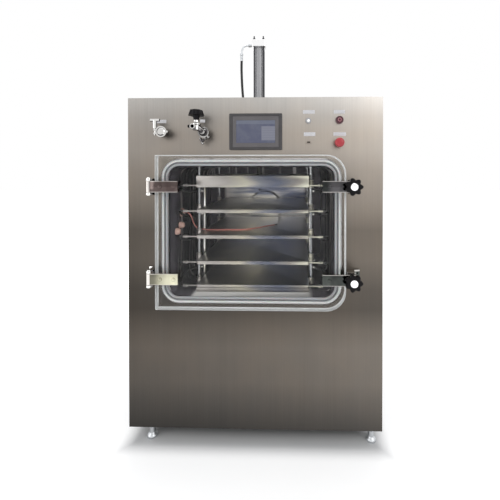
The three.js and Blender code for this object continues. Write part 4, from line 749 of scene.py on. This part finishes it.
plate((MOUTH_LEFT, CHAMBER_FLOOR, -CHAMBER_DEEP), (MOUTH_RIGHT, CHAMBER_ROOF, FLANGE_PROUD),
      [MOUTH_ROUND] * 4, steps=12)
ends = [f for f in bench.faces if abs(f.normal.y) > 0.99]
bmesh.ops.delete(bench, geom=ends, context="FACES_ONLY")
port_middle = at(MOUTH_X, PORT_UP, -CHAMBER_DEEP)
back_rim = rim_of([v for v in bench.verts if abs(v.co.y - port_middle.y) < 0.00001])
port = bmesh.ops.create_circle(bench, segments=64, radius=PORT_RADIUS * MM, cap_ends=False,
                               matrix=Matrix.Translation(port_middle) @ Matrix.Rotation(math.pi / 2, 4, "X"))
port_rim = rim_of(port["verts"])
bmesh.ops.bridge_loops(bench, edges=back_rim + port_rim)
neck = bmesh.ops.extrude_edge_only(bench, edges=port_rim)
bmesh.ops.translate(bench, verts=verts_in(neck["geom"]), vec=-OUT * NECK_LONG * MM)
lining = finished("chamber_lining", "chamber_mirror", "chamber_shell", slot="mirror_steel", crisp=35)
wall = lining.modifiers.new("wall", "SOLIDIFY")
wall.thickness, wall.offset = WALL * MM, 1

# %% [markdown]
# ## Frames with a cross-section
# The flange and the seal have the same cross-section all the way round a rounded rectangle. A joiner would
# run a moulding through a cutter; here the section is drawn once, pulled along a straight and spun through
# a corner, four times over, until it meets itself.

# %% Flange and door seal
CORNER_STEPS = 12


def framed(section):
    """Runs a closed section of (outwards, towards the reader) points round the chamber's mouth."""
    w, h = MOUTH_WIDE / 2 - MOUTH_ROUND, MOUTH_HIGH / 2 - MOUTH_ROUND
    points = [bench.verts.new(at(MOUTH_X - w, CHAMBER_FLOOR - grow, out)) for grow, out in section]
    ring = points + [bench.edges.new(pair) for pair in zip(points, points[1:] + points[:1])]
    for i, (cx, cz) in enumerate(((w, -h), (w, h), (-w, h), (-w, -h))):
        run = (2 * w * RIGHT, 2 * h * UP, -2 * w * RIGHT, -2 * h * UP)[i] * MM
        made = bmesh.ops.extrude_edge_only(bench, edges=[e for e in ring
                                                         if isinstance(e, bmesh.types.BMEdge)])
        verts = verts_in(made["geom"])
        bmesh.ops.translate(bench, verts=verts, vec=run)
        spun = bmesh.ops.spin(bench, geom=verts + rim_of(verts), cent=at(MOUTH_X + cx, MOUTH_UP + cz, 0),
                              axis=OUT, angle=math.pi / 2, steps=CORNER_STEPS)
        ring = spun["geom_last"]


framed([(0, 14.5), (0, 0.5), (32, 0.5), (32, 13), (30, 15), (0.5, 15)])
finished("mouth_flange", "flange_steel", slot="polished_steel")
framed([(2, 15.2), (26, 15.2), (26, 16.4), (24.6, 16.8), (24, 19.2), (23, 20), (20, 20), (18.8, 19.2),
        (18.2, 17.0), (17, 16.5), (11, 16.5), (9.8, 17.0), (9.2, 19.2), (8, 20), (5, 20), (4, 19.2),
        (3.4, 16.8), (2, 16.4)])
finished("door_seal", "silicone", "door_gasket")

# %% [markdown]
# ## The baffle in front of the port
# A round polished plate stands off the back wall on three bolts, so that the vapour flows round its rim and
# not in one jet. Seen from the door it is a thin dark ring with the chamber mirrored in its middle. It is
# turned on a lathe as one disc with a broken edge, and a small block joins each bolt to its rim.

# %% Baffle
BAFFLE_RADIUS, BAFFLE_THICK, BAFFLE_BACK, FIRST_BOLT = 97, 5, -660, -0.18
turned(bar(BAFFLE_RADIUS, 0, BAFFLE_THICK, foot=1, ease=1), at(MOUTH_X, PORT_UP, BAFFLE_BACK), steps=72)
for i in range(3):
    angle = FIRST_BOLT + i * 2 * math.pi / 3
    outwards = Vector((math.cos(angle), 0, math.sin(angle)))
    bolt = at(MOUTH_X, PORT_UP, BAFFLE_BACK) + outwards * 110 * MM
    front = BAFFLE_THICK + 0.2
    turned([(9, 0), (9, front), (6.5, front), (6.5, front + 4), (5, front + 5)], bolt, steps=24)
    turned(bar(5, -29.5, 0.5), bolt, steps=20)
    tab = at(MOUTH_X, PORT_UP, BAFFLE_BACK + BAFFLE_THICK / 2) + outwards * 100 * MM
    bmesh.ops.create_cube(bench, size=1, matrix=Matrix.Translation(tab) @ Matrix.Rotation(-angle, 4, "Y") @
                          Matrix.Diagonal((0.020, 0.0048, 0.018, 1)))
finished("vapour_disc", "chamber_mirror", "vapour_baffle", slot="mirror_steel")

# %% [markdown]
# ## The door plate
# The door is cut from one sheet. Its free corners are widely rounded and its hinge corners are nearly
# square. The sawn edge is flame polished and a little rounded in front and behind, and these roundings
# catch the light as two bright lines. They are modelled, because only real faces bend the light like that.

# %% Door plate
DOOR_BACK, DOOR_FRONT = 20.3, 58.3
plate((MOUTH_X - DOOR_HALF_WIDE, MOUTH_UP - DOOR_HALF_HIGH, DOOR_BACK),
      (MOUTH_X + DOOR_HALF_WIDE, MOUTH_UP + DOOR_HALF_HIGH, DOOR_FRONT),
      [HINGE_ROUND, DOOR_ROUND, DOOR_ROUND, HINGE_ROUND], edge=3, steps=16)
finished("door_pane", "clear_acrylic", "door_plate", body="door", crisp=50)

# %% [markdown]
# ## Hinges
# Two heavy polished straps hold the plate at the left. Each is clamped to the acrylic by two domed bolts
# and turns on a pin between the ears of a bracket on the cabinet. The strap and the bracket are blocks with
# broken edges; barrels, pins and bolt heads are turned. A cast bracket would be softer, but these are
# milled.

# %% Hinges
ARM_BACK, ARM_FRONT, ARM_HALF, HINGE_OUT = 58.6, 70.6, 23, 64.6
EAR, REACH = ARM_HALF + 1, ARM_HALF + 11
ARM_LEVELS = {"upper": MOUTH_UP + ARM_OFFSET, "lower": MOUTH_UP - ARM_OFFSET}


def arm(left, right, up, *bolts):
    """A polished strap on the door's front, with its domed bolts."""
    block((left, up - ARM_HALF, ARM_BACK), (right, up + ARM_HALF, ARM_FRONT), edge=1.8, steps=3)
    for x in bolts:
        turned([(8, -1), (8, 2.2), (7.4, 3.2), (5, 4.4), (2.5, 4.9), (0, 5)], at(x, up, ARM_FRONT), steps=32)


for place, up in ARM_LEVELS.items():
    hinge = at(HINGE_X, up, HINGE_OUT)
    arm(HINGE_X + 7, -302, up, -319, -374)
    turned(bar(10, -ARM_HALF, ARM_HALF, foot=1, ease=1), hinge, UP, bore=5)
    finished(place + "_strap", "arm_steel", place + "_hinge_arm", body="door", slot="polished_steel")

    block((HINGE_X - 26, up - REACH, 0.3), (HINGE_X + 10, up + REACH, 7), edge=1.2)
    block((HINGE_X - 10, up - REACH + 0.4, 6), (HINGE_X + 10, up + REACH - 0.4, 53.6), edge=0.8)
    for low, high in ((up + EAR, up + REACH), (up - REACH, up - EAR)):
        plate((HINGE_X - 10, low, 6), (HINGE_X + 10, high, HINGE_OUT + 10), [10, 10, 0, 0], edge=0.8,
              rim=2, axis=2)
    turned([(4.7, -REACH - 2), (4.7, REACH), (7.5, REACH), (7.5, REACH + 3), (6.5, REACH + 4)], hinge, UP,
           steps=32)
    for level in (up - 24, up + 24):
        turned([(5, 6), (5, 8.6), (4, 9.4)], at(HINGE_X - 18, level, 0), steps=24)
    finished(place + "_bracket", "polished_steel", place + "_hinge_bracket")

# %% [markdown]
# ## Clamps and star knobs
# On the free side two arms carry a captive screw each, and a black star knob drives it into a stop on the
# cabinet. A star knob is a disc whose rim swells into seven lobes for the fingers: the circle's points are
# pushed in and out before the disc is raised, and the rims are rounded like the moulding. A bright cap
# hides its nut.

# %% Clamps and star knobs
CLAMP_X, KNOB_BACK = 398, 83.6


def lobed_disc(centre, axis, radius, lobes, depth, thick, edge, sharpness=1.0, segments=98):
    turn = Matrix.Translation(centre) @ axis.to_track_quat("Z", "Y").to_matrix().to_4x4()
    disc = bmesh.ops.create_circle(bench, cap_ends=True, segments=segments, radius=radius * MM)
    for v in disc["verts"]:
        swell = (0.5 + 0.5 * math.cos(lobes * math.atan2(v.co.y, v.co.x))) ** sharpness
        v.co *= 1 - depth / radius * (1 - swell)
    bmesh.ops.transform(bench, matrix=turn, verts=disc["verts"])
    face = disc["verts"][0].link_faces[0]
    raised = bmesh.ops.extrude_face_region(bench, geom=[face], use_keep_orig=True)
    top = verts_in(raised["geom"])
    bmesh.ops.translate(bench, verts=top, vec=axis * thick * MM)
    break_edges(rim_of(disc["verts"]) + rim_of(top), edge, 4)


for place, up in ARM_LEVELS.items():
    knob, screw = place + "_knob", at(CLAMP_X, up, 0)
    arm(279, 418, up, 307)
    finished(place + "_arm", "arm_steel", place + "_clamp_arm", body="door", slot="polished_steel")
    lobed_disc(at(CLAMP_X, up, KNOB_BACK), OUT, radius=35, lobes=7, depth=9, thick=22, edge=3.5,
               sharpness=0.75)
    turned([(12.5, 71.4), (13.5, 72.5), (15, 84)], screw, steps=40)
    turned([(18.5, 105), (18, 106.6), (15.6, 107.2), (15, 106.4)], screw, steps=56, bore=14)
    finished(knob + "_grip", "black_plastic", place + "_star_knob", body=knob)
    turned([(14.8, 105), (14.8, 107), (14, 107.9), (10, 108.4), (0, 108.6)], screw, steps=56)
    finished(knob + "_cap", "bright_cap", body=knob, slot="anodised_aluminium")
    turned(bar(6, 52, 72, foot=1.2), screw, steps=32)
    finished(knob + "_screw", "zinc_steel", body=knob)

# %% [markdown]
# ## Vent valve
# The left port is closed by a blind clamp, and the right one carries the valve that lets air back into the
# chamber. Its bonnet, inlet and bleed are turned parts joined by a short bent pipe. The handwheel is
# moulded: a lobed rim that narrows upwards, so that fingers find a hold on it, over a tapered neck.

# %% Vent valve
VENT, STEM, STEM_OUT, WHEEL_FOOT = (-205, 1257), (-227.5, 1277), 62, 25.3
stem, bleed = at(*STEM, STEM_OUT), at(STEM[0], STEM[1] + 1, STEM_OUT)
turned([(16.5, 38.3), (16.5, 41.6), (15.8, 42.4), (12, 45.3), (11, 60.3)], at(*VENT, 0))
tube([(*VENT, 50), (-210, 1261, 58), (-219, 1269, STEM_OUT), (STEM[0], STEM[1] - 2, STEM_OUT)], 9.5,
     resolution=6)
finished("vent_link", "clamp_steel", "vent_valve_body", slot="polished_steel")
turned([(12, -16), (14, -14), (14, 3), (18.3, 4.6), (19, 5.3), (19, 9.7), (18.3, 10.4), (13, 12.4),
        (11.4, 14.5), (11.4, 24), (10.4, 25)], stem, UP)
turned([(9.4, 62), (9.4, 87), (10.6, 88.4), (10.6, 91.3), (9.9, 92), (7, 92), (6.5, 91.3), (6.5, 70)],
       INLET - OUT * 92 * MM)
turned(bar(3, 0, 27), bleed, -RIGHT, steps=24)
finished("vent_valve", "valve_steel", "vent_valve_body", slot="polished_steel")
turned([(5.4, 25), (6, 25.6), (6, 33.3), (5.2, 34)], bleed, -RIGHT, steps=32)
finished("bleed_knob", "black_plastic")
foot = stem + UP * WHEEL_FOOT * MM
lobed_disc(foot + UP * 18 * MM, UP, radius=32.5, lobes=8, depth=3.2, thick=21.5, edge=1.2, segments=96)
for v in bench.verts:
    narrow = 1 - 0.22 * min(max((v.co.z - foot.z - 20 * MM) / (20 * MM), 0), 1)
    v.co.xy = foot.xy + (v.co.xy - foot.xy) * narrow
turned([(9.3, 0), (10, 0.8), (10.4, 3), (14.8, 18.2)], foot, UP, steps=40)
finished("vent_grip", "black_plastic", "vent_handwheel", body="vent_wheel")

# %% [markdown]
# ## Heated shelves
# Each shelf is a flat hollow plate with silicone oil in it. Four ears with sleeves slide on the guide rods,
# and a pipe stub with a union nut leaves each front corner. All five come from one loop; the lowest stands
# on rails on the floor, and the top one carries a stiff box of rails, because the ram pushes on its middle.

# %% Heated shelves
SHELF_LEFT, SHELF_RIGHT, SHELF_FRONT, SHELF_BACK = MOUTH_X - SHELF_HALF, MOUTH_X + SHELF_HALF, -37, -631
HALF_THICK, RAIL, BOX_HIGH, SLEEVE_TOP, LOW_SLEEVE_TOP = 7.5, 12, 42, 22, 16
SHELVES = {"bottom_shelf": ("cabinet", 600), "shelf_3": ("rack_shelf_3", 702),
           "shelf_2": ("rack_shelf_2", 813), "shelf_1": ("rack_shelf_1", 924),
           "pressing_shelf": ("press", 1035)}
GUIDE_OFFSET, STUB_DEPTH, PRESS_DEPTH = 256, 49, 334
GUIDES = [(side, MOUTH_X + side * GUIDE_OFFSET, depth) for side in (-1, 1) for depth in (129, 539)]
RAM = at(MOUTH_X, 0, -PRESS_DEPTH)


def rails(low, high):
    """Upright strips on a shelf: three across it and three between them from front to back."""
    for back in (SHELF_FRONT - RAIL, (SHELF_FRONT + SHELF_BACK) / 2 - RAIL / 2, SHELF_BACK):
        block((SHELF_LEFT, low, back), (SHELF_RIGHT, high, back + RAIL), edge=1.2)
    for x in (SHELF_LEFT, MOUTH_X - RAIL / 2, SHELF_RIGHT - RAIL):
        box((x, low + 0.2, SHELF_BACK + RAIL), (x + RAIL, high - 0.2, SHELF_FRONT - RAIL))


for node, (body, level) in SHELVES.items():
    top = LOW_SLEEVE_TOP if node == "bottom_shelf" else SLEEVE_TOP
    plate((SHELF_LEFT, level - HALF_THICK, SHELF_BACK), (SHELF_RIGHT, level + HALF_THICK, SHELF_FRONT),
          [6] * 4, edge=1.5, steps=6, axis=2)
    for side, x, depth in GUIDES:
        ends = sorted((MOUTH_X + side * (SHELF_HALF - 3), x - side * 9))
        block((ends[0], level - 5.5, -depth - 20), (ends[1], level + 5.5, -depth + 20), edge=1)
        turned([(11, -14), (12, -13), (12, top - 12), (10, top - 9), (10, top - 8), (12, top - 6),
                (12.5, top - 3.5), (11.5, top - 1), (9.5, top)], at(x, level, -depth), UP, steps=32, bore=8)
    for stub in (-RIGHT, RIGHT):
        for outline, steps in ((bar(4, SHELF_HALF - 3, 302), 24), (bar(6, 294, 303), 24),
                               ([(7, 284), (7.6, 285), (7.6, 293), (7, 294)], 6)):
            turned(outline, at(MOUTH_X, level, -STUB_DEPTH), stub, steps)
    if node == "pressing_shelf":
        rails(level + HALF_THICK - 0.5, level + BOX_HIGH)
        block((SHELF_LEFT, level - HALF_THICK, SHELF_FRONT - 4),
              (SHELF_RIGHT, level + BOX_HIGH, SHELF_FRONT + 0.4), edge=1.2)
        turned([(34, HALF_THICK), (34, BOX_HIGH - 1.5), (32.5, BOX_HIGH)], RAM + UP * level * MM, UP, bore=13)
    if node == "bottom_shelf":
        rails(CHAMBER_FLOOR + 0.3, level - HALF_THICK + 0.5)
    finished("heated_" + node, "shelf_mirror", node, body=body, slot="mirror_steel")

# %% [markdown]
# ## Guide rods and ram
# The shelves hang on four chromed rods that run from the floor to the roof of the chamber, each in two
# turned sockets. The ram comes down through the roof. All are plain turned bars, which is how they are
# made.

# %% Guide rods and ram
for i, (_, x, depth) in enumerate(GUIDES, start=1):
    low, high = CHAMBER_FLOOR + 0.3, CHAMBER_ROOF - 0.3
    turned([(10, low), (10, low + 9), (9, low + 10), (7, low + 10), (7, high - 8), (9, high - 8),
            (10, high - 7), (10, high)], at(x, 0, -depth), UP, steps=40)
    finished(f"guide_bar_{i}", "hard_chrome", f"guide_rod_{i}")
turned([(11.5, 1065.8), (12.5, 1067), (12.5, 1725), (19.7, 1725), (19.7, 1755)], RAM, UP, steps=40)
finished("ram_bar", "hard_chrome", "ram_rod", body="press")

# %% [markdown]
# ## Oil pipes and hoses
# Hot or cold oil reaches each shelf from an upright pipe at either side. The shelves move and the pipes
# don't, so a black hose joins each pair.

# %% Oil pipes and hoses
PIPE_DEPTH, DROP = 218, 34
for hand, side in (("left", -1), ("right", 1)):
    nozzles = []
    for node, (body, level) in SHELVES.items():
        fixed = node == "bottom_shelf"
        drop = -DROP if fixed else DROP
        end = level - drop
        run = ((303.3, level, STUB_DEPTH), (315.3, level, STUB_DEPTH), (325.3, level - 0.3 * drop, 77),
               (323.3, level - 0.8 * drop, 119), (311.3, level - 1.05 * drop, 169), (290, end, 206),
               (276, end, PIPE_DEPTH))
        tube([(MOUTH_X + side * x, up, -depth) for x, up, depth in run], 6, resolution=4)
        oil_hose = finished(f"{hand}_oil_hose_{level}", "black_rubber", body="cabinet" if fixed else None)
        if not fixed:
            at(MOUTH_X + side * 318, level, -58)
            at(MOUTH_X + side * 288, end, -208)
            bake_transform(oil_hose)
        nozzles.append(end)
    x = MOUTH_X + side * GUIDE_OFFSET
    for end in nozzles:
        turned([(7, 1), (7, 12), (8, 13), (8, 17), (7, 18), (7, 21)], at(x, end, -PIPE_DEPTH),
               RIGHT * side, steps=24)
    turned([(12, CHAMBER_FLOOR + 0.3), (12, CHAMBER_FLOOR + 4), (8, CHAMBER_FLOOR + 5), (8, 1051),
            (6.5, 1054), (0, 1055)], at(x, 0, -PIPE_DEPTH), UP, steps=32)
    finished(hand + "_oil_pipe", "mirror_steel", hand + "_oil_hoses")

# %% [markdown]
# ## Bungs
# Leads for more probes can be led through the left wall. Each hole is shut by a tapered rubber bung. A bung
# is one lathe outline: a broad head with a rounded rim and a slight dimple in its middle, and one has a
# hole for its lead.

# %% Bungs
BUNGS = (("lead", 906, 142, 18, 16, LEAD_RADIUS + 0.05), ("middle", 851, 121, 14, 22, 0),
         ("lower", 830, 75, 15, 18, 0))
for name, up, depth, radius, proud, hole in BUNGS:
    turned([(radius, 0.3), (radius, proud * 0.5), (radius - 2.5, proud - 2.5), (radius - 4.5, proud),
            (3.5, proud), (hole, proud - 0.8)], at(MOUTH_LEFT, up, -depth), RIGHT, steps=40, bore=hole)
    finished(name + "_bung", "bung_rubber", slot="pink_rubber")

# %% [markdown]
# ## Press cylinder
# A hydraulic cylinder on the roof drives the ram. It is held together as such cylinders are: a ground tube
# between two square heads, clamped by four tie rods with nuts. The rods are blackened, so they read as dark
# lines beside the bright tube. Nuts are six-sided lathe work: a turned piece with only six steps.

# %% Press cylinder
FOOT_LOW, FOOT_TOP, HEAD_LOW, HEAD_TOP, TIE_OFFSET = 1152, 1188, 1763, 1798, 24


def cylinder_head(half, low, high, corner, edge):
    plate((MOUTH_X - half, low, -PRESS_DEPTH - half), (MOUTH_X + half, high, -PRESS_DEPTH + half),
          [corner] * 4, edge=edge, steps=5, axis=2)


cylinder_head(40, FOOT_LOW, FOOT_TOP, 6, 1)
finished("press_foot", "anodised_aluminium")
turned([(27, FOOT_TOP), (27, FOOT_TOP + 5), (25, FOOT_TOP + 6), (25, HEAD_LOW - 4), (26.5, HEAD_LOW - 3),
        (26.5, HEAD_LOW - 0.3)], RAM, UP, steps=64)
finished("press_tube", "honed_tube", "cylinder_body", slot="anodised_aluminium")
for i in (-TIE_OFFSET, TIE_OFFSET):
    for j in (-TIE_OFFSET, TIE_OFFSET):
        tie = at(MOUTH_X + i, 0, -PRESS_DEPTH - j)
        turned([(3.5, FOOT_TOP), (3.5, 1817.5), (2.8, 1818.6)], tie, UP, steps=16)
        nut(tie, HEAD_TOP + 0.1, 12.8, 8.5)
finished("tie_rods", "black_oxide", slot="black_paint")
cylinder_head(36, HEAD_LOW, HEAD_TOP, 5, 1.2)
turned([(13, 0), (13, 1.5), (11, 2.2)], at(MOUTH_X, HEAD_TOP - 0.4, -PRESS_DEPTH), UP)
finished("press_head", "bright_cap", "cylinder_cap", slot="anodised_aluminium")

# %% [markdown]
# ## Hydraulic hose
# Oil for the cylinder comes up from the pump through a black hose. At the head it meets a bent steel pipe
# with a union nut, and its end is pressed into a steel ferrule. At the roof it passes a rubber grommet.

# %% Hydraulic hose
UNION_UP, HOSE_X, GROMMET_X = 1780.5, -106.5, -94
pump_top = (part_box("power_pack")[1].z - lower_edge) / MM
roof = (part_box("top_panel")[1].z - lower_edge) / MM
tube([(HOSE_X, 1704.5, -334), (-107, 1650, -334), (-103.5, 1560, -334), (-96.5, 1470, -334),
      (GROMMET_X, 1410, -334), (-91, 1360, -334), (-110, 1300, -344), (-170, 1240, -354),
      (-270, 1212, -354), (-380, 1200, -344), (-453.85, 1130, -334), (-459.85, 1000, -334),
      (-459.85, 800, -334), (-459.85, 600, -334), (-453.85, 470, -334), (-433.85, 380, -334),
      (-390, pump_top + 60, -330), (-390, pump_top + 20.3, -330)], 6.4, resolution=4)
finished("press_hose", "black_rubber", "hydraulic_hose")
tube([(-64, UNION_UP, -334), (-70.3, UNION_UP, -334), (-82, 1779.5, -334), (-96, 1772.5, -334),
      (-104, 1756.5, -334), (-106, 1736.5, -334), (HOSE_X, 1720.5, -334)], 4.2, resolution=5)
turned([(8, 35.8), (8, 46), (9.2, 47), (9.2, 56), (8, 57.5), (5.5, 58)],
       at(MOUTH_X, UNION_UP, -PRESS_DEPTH), -RIGHT, steps=6)
turned([(6.4, 1698.5), (7, 1700), (7, 1722), (6.2, 1723), (6.2, 1727), (8, 1728), (8, 1738), (5, 1740.5)],
       at(HOSE_X, 0, -PRESS_DEPTH), UP, steps=32)
finished("hose_union", "zinc_steel")
turned([(12, roof + 0.2), (12, roof + 2), (9.5, roof + 4)], at(GROMMET_X, 0, -PRESS_DEPTH), UP, steps=40,
       bore=6.5)
finished("roof_grommet", "black_rubber")

# %% [markdown]
# ## Touch screen
# The screen is a dark moulded bezel, a lighter frame in it, and the glass in that. Both frames are slabs
# with a pocket. The pocket is an inset of the front face that is stretched to its size and pushed back,
# which is how a mould would form it, walls with a little draft included.

# %% Touch screen
def framed_plate(middle, size, out, corner, edge, hole, floor, steps=6, rim=3):
    """A slab about a middle, with a pocket of the size of hole, sunk down to floor above the front sheet."""
    (x, up), (wide, high), (back, front) = middle, size, out
    plate((x - wide / 2, up - high / 2, back), (x + wide / 2, up + high / 2, front), [corner] * 4, edge,
          steps, rim)
    face = max((f for f in bench.faces if f.normal.y < -0.99), key=lambda f: f.calc_area())
    bmesh.ops.inset_region(bench, faces=[face], thickness=MM, use_even_offset=True)
    centre = face.calc_center_median()
    wide, high = [max(abs(v.co[i] - centre[i]) for v in face.verts) * 2 / MM for i in (0, 2)]
    bmesh.ops.scale(bench, vec=(hole[0] / wide, 1, hole[1] / high), space=Matrix.Translation(-centre),
                    verts=face.verts)
    bmesh.ops.inset_region(bench, faces=[face], thickness=0.25 * MM, use_even_offset=True)
    bmesh.ops.translate(bench, vec=(0, at(0, 0, floor).y - centre.y, 0), verts=face.verts)


SCREEN = (6, 1264.5)
framed_plate(SCREEN, (223, 153), (0.3, 8), 4, 1.6, hole=(195.4, 131.4), floor=3.6)
finished("screen_bezel", "dark_plastic", "touch_screen")
framed_plate(SCREEN, (194.8, 130.8), (3.7, 7), 2, 0.5, hole=(165, 96), floor=4.1)
finished("screen_frame", "frame_plastic", slot="dark_plastic")

# %% [markdown]
# ## Buttons
# Beside the screen are a small bright start button, a power switch with a red ring that lights up, and a
# red mushroom to stop. Each is turned: a collar on the sheet, and a cap that moves in it by a few
# millimetres.

# %% Buttons
START, POWER, STOP, USB = at(227.5, 1310, 0), at(357.5, 1312.5, 0), at(355, 1216, 0), (229, 1220)


def ring(centre, bore, radius, low, high, ease=0.8):
    turned([(radius, low), (radius, high - ease), (radius - ease, high), (bore + ease / 2, high),
            (bore, high - ease / 2)], centre, steps=56, bore=bore)


# Painted shade: the start collar gets the darker honed finish, so that it reads as shade round the bright
# cap.
ring(START, 6.3, 12, 0.2, 4.6)
finished("start_collar", "honed_tube", slot="satin_steel")
turned([(6, 0.5), (6, 6.5), (5.4, 7.3), (4.6, 7.5)], START, steps=56)
finished("start_cap", "bright_cap", "start_button", body="start_key", slot="polished_steel")
ring(POWER, 9.3, 16.6, 0.2, 8.6, ease=1.6)
finished("power_collar", "lit_red", slot="red_plastic")
ring(POWER, 4.6, 8.6, 10.6, 12.2)
finished("power_glow", "pink_glow", body="power_key", slot="red_plastic")
turned([(9, 0.5), (9, 10.4), (8.2, 11.3), (7.4, 11.5), (0, 11.1)], POWER, steps=56)
finished("power_cap", "lit_red", "power_button", body="power_key", slot="red_plastic")
ring(STOP, 9.4, 15.4, 0.2, 9.2, ease=1.2)
finished("stop_collar", "black_plastic")
turned([(9, 0.5), (9, 14.6), (16.5, 15), (18.6, 16.4), (19.5, 19), (19.5, 27), (18.9, 30), (17.2, 32.6),
        (13.5, 34.7), (8, 35.7), (0, 36)], STOP, steps=56)
finished("stop_head", "red_plastic", "stop_button", body="stop_key")
framed_plate(USB, (12.4, 4.8), (-4, 2.2), 0.6, 0.3, hole=(10.8, 3.4), floor=-3, steps=3, rim=2)
block((USB[0] - 5, USB[1] + 0.1, -3.2), (USB[0] + 5, USB[1] + 1.2, 1.2), edge=0.2)
finished("usb_socket_core", "black_plastic")

# %% [markdown]
# ## Label strips
# The buttons and ports are marked by small pale strips of film, which stay blank here. Each is a plate a
# third of a millimetre thick with rounded corners and a soft edge, so that it catches a thin line of light.

# %% Label strips
LABELS = {"start": (205, 254.5, 1340, 1355), "power": (334, 381, 1340, 1355), "usb": (208.6, 257, 1246, 1262),
          "stop": (332.7, 385.4, 1246, 1261.6), "sample": (-434, -375, 1303, 1317),
          "vent": (-231, -209, 1305, 1317.5)}
for name, (left, right, low, high) in LABELS.items():
    plate((left, low, 0.1), (right, high, 0.45), [1] * 4, edge=0.12, steps=4, rim=2)
    finished(name + "_label", "label_film", slot="white_paint")

# %% [markdown]
# ## Adjustable feet
# Four screwed feet level the dryer. The rubber-soled pad is a turned cone, the nut above it locks the
# screw.

# %% Adjustable feet
for i in range(1, 5):
    low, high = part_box(f"levelling_foot_{i}")
    screw = (low + high) / 2
    screw.z = lower_edge
    turned([(20, -80), (22, -77), (22, -71), (20, -67.5), (17, -64), (12.6, -60), (12, -58), (12, -34)],
           screw, UP)
    nut(screw, -28, 27, 7.7)
    nut(screw, -14, 27, 13.6)
    turned(bar(8, -40, 24), screw, UP, steps=24)
    finished(f"screw_foot_{i}", "zinc_steel", f"levelling_foot_{i}")

# %% [markdown]
# ## Floor
# A steel cabinet shows what stands around it, so the studio is kept as plain as it can be. The pale floor
# shows the lamps' soft shadow under the cabinet, and a painted shadow deepens it: the floor's colour turns
# dark under the cabinet's footprint. Further out it is lifted to white, but only for the rays of the camera,
# of mirrors and of the glass, so that it throws no more light on the machine. That lift is weaker close to
# the cabinet, which paints a soft shadow round it.

# %% Floor
LOOKING_RAYS = ("Is Camera Ray", "Is Glossy Ray", "Is Transmission Ray")
SHADE, PALE = (0.06, 0.06, 0.06), (0.8, 0.8, 0.8)
bmesh.ops.create_grid(bench, x_segments=1, y_segments=1, size=30)
floor_mesh = bpy.data.meshes.new("studio_floor")
bench.to_mesh(floor_mesh)
bench.free()
ground = Finish("studio_floor", Roughness=1.0, Specular_IOR_Level=0.0, Emission_Strength=1.0)
camera_ray, glossy_ray, clear_ray = [ground.node("LightPath", output=ray) for ray in LOOKING_RAYS]
seen = camera_ray.maths("MAXIMUM", glossy_ray).maths("MAXIMUM", clear_ray)
outside = (abs(ground.axis(0)) - cad_bounds[1].x).maths("MAXIMUM", abs(ground.axis(1)) + front_face)
# Painted shadow: the lift to white is weaker near the cabinet, and the colour is dark under it.
lift = outside.between(-0.03, 0.06) * 0.55 + outside.between(0.05, 1.2) * 0.45
ground.feed("Base Color", ground.mixed(outside.between(-0.14, -0.02), SHADE, PALE))
ground.feed("Emission Color", ground.mixed(seen * lift, (0, 0, 0), (1, 1, 1)))
floor_mesh.materials.append(ground.material)
put("studio_floor", floor_mesh)
print("a pale floor, white from a distance")

# %% [markdown]
# ## Lamps and background
# One large soft lamp stands at the upper right, a weaker one at the left, and one hangs above. The
# background is white because the world is white where the camera, a mirror or the glass looks at it. For
# all other rays it is a dim, even grey, so it lights nothing more for being white.

# %% Lamps and background
AIM = Vector((0, 0, 0.9))
LAMPS = {"key_lamp": ((2.9, -3.3, 3.0), 2.6, 2.6, 42), "fill_lamp": ((-3.2, -2.6, 1.8), 2.2, 2.4, 30),
         "top_lamp": ((0, 0.6, 4.2), 3.0, 3.0, 70)}
for name, (place, width, height, power) in LAMPS.items():
    lamp = bpy.data.lights.new(name, "AREA")
    lamp.shape = "RECTANGLE"
    lamp.size, lamp.size_y, lamp.energy = width, height, power
    holder = put(name, lamp)
    holder.location = place
    holder.rotation_euler = (AIM - Vector(place)).to_track_quat("-Z", "Y").to_euler()

world = bpy.data.worlds.new("studio")
bpy.context.scene.world = world
world.use_nodes = True
sky = world.node_tree


def background(node, colour, strength):
    node.inputs["Color"].default_value = (*colour, 1)
    node.inputs["Strength"].default_value = strength
    return node.outputs[0]


ambient = background(sky.nodes["Background"], (0.95, 0.97, 1.0), 0.42)
white = background(sky.nodes.new("ShaderNodeBackground"), (1, 1, 1), 1.0)
rays = sky.nodes.new("ShaderNodeLightPath").outputs
looking = rays[LOOKING_RAYS[0]]
for ray in LOOKING_RAYS[1:]:
    either = sky.nodes.new("ShaderNodeMath")
    either.operation = "MAXIMUM"
    sky.links.new(looking, either.inputs[0])
    sky.links.new(rays[ray], either.inputs[1])
    looking = either.outputs[0]
blend = sky.nodes.new("ShaderNodeMixShader")
for socket, value in enumerate((looking, ambient, white)):
    sky.links.new(value, blend.inputs[socket])
sky.links.new(blend.outputs[0], sky.nodes["World Output"].inputs["Surface"])
print(len(LAMPS), "soft lamps and a white background")
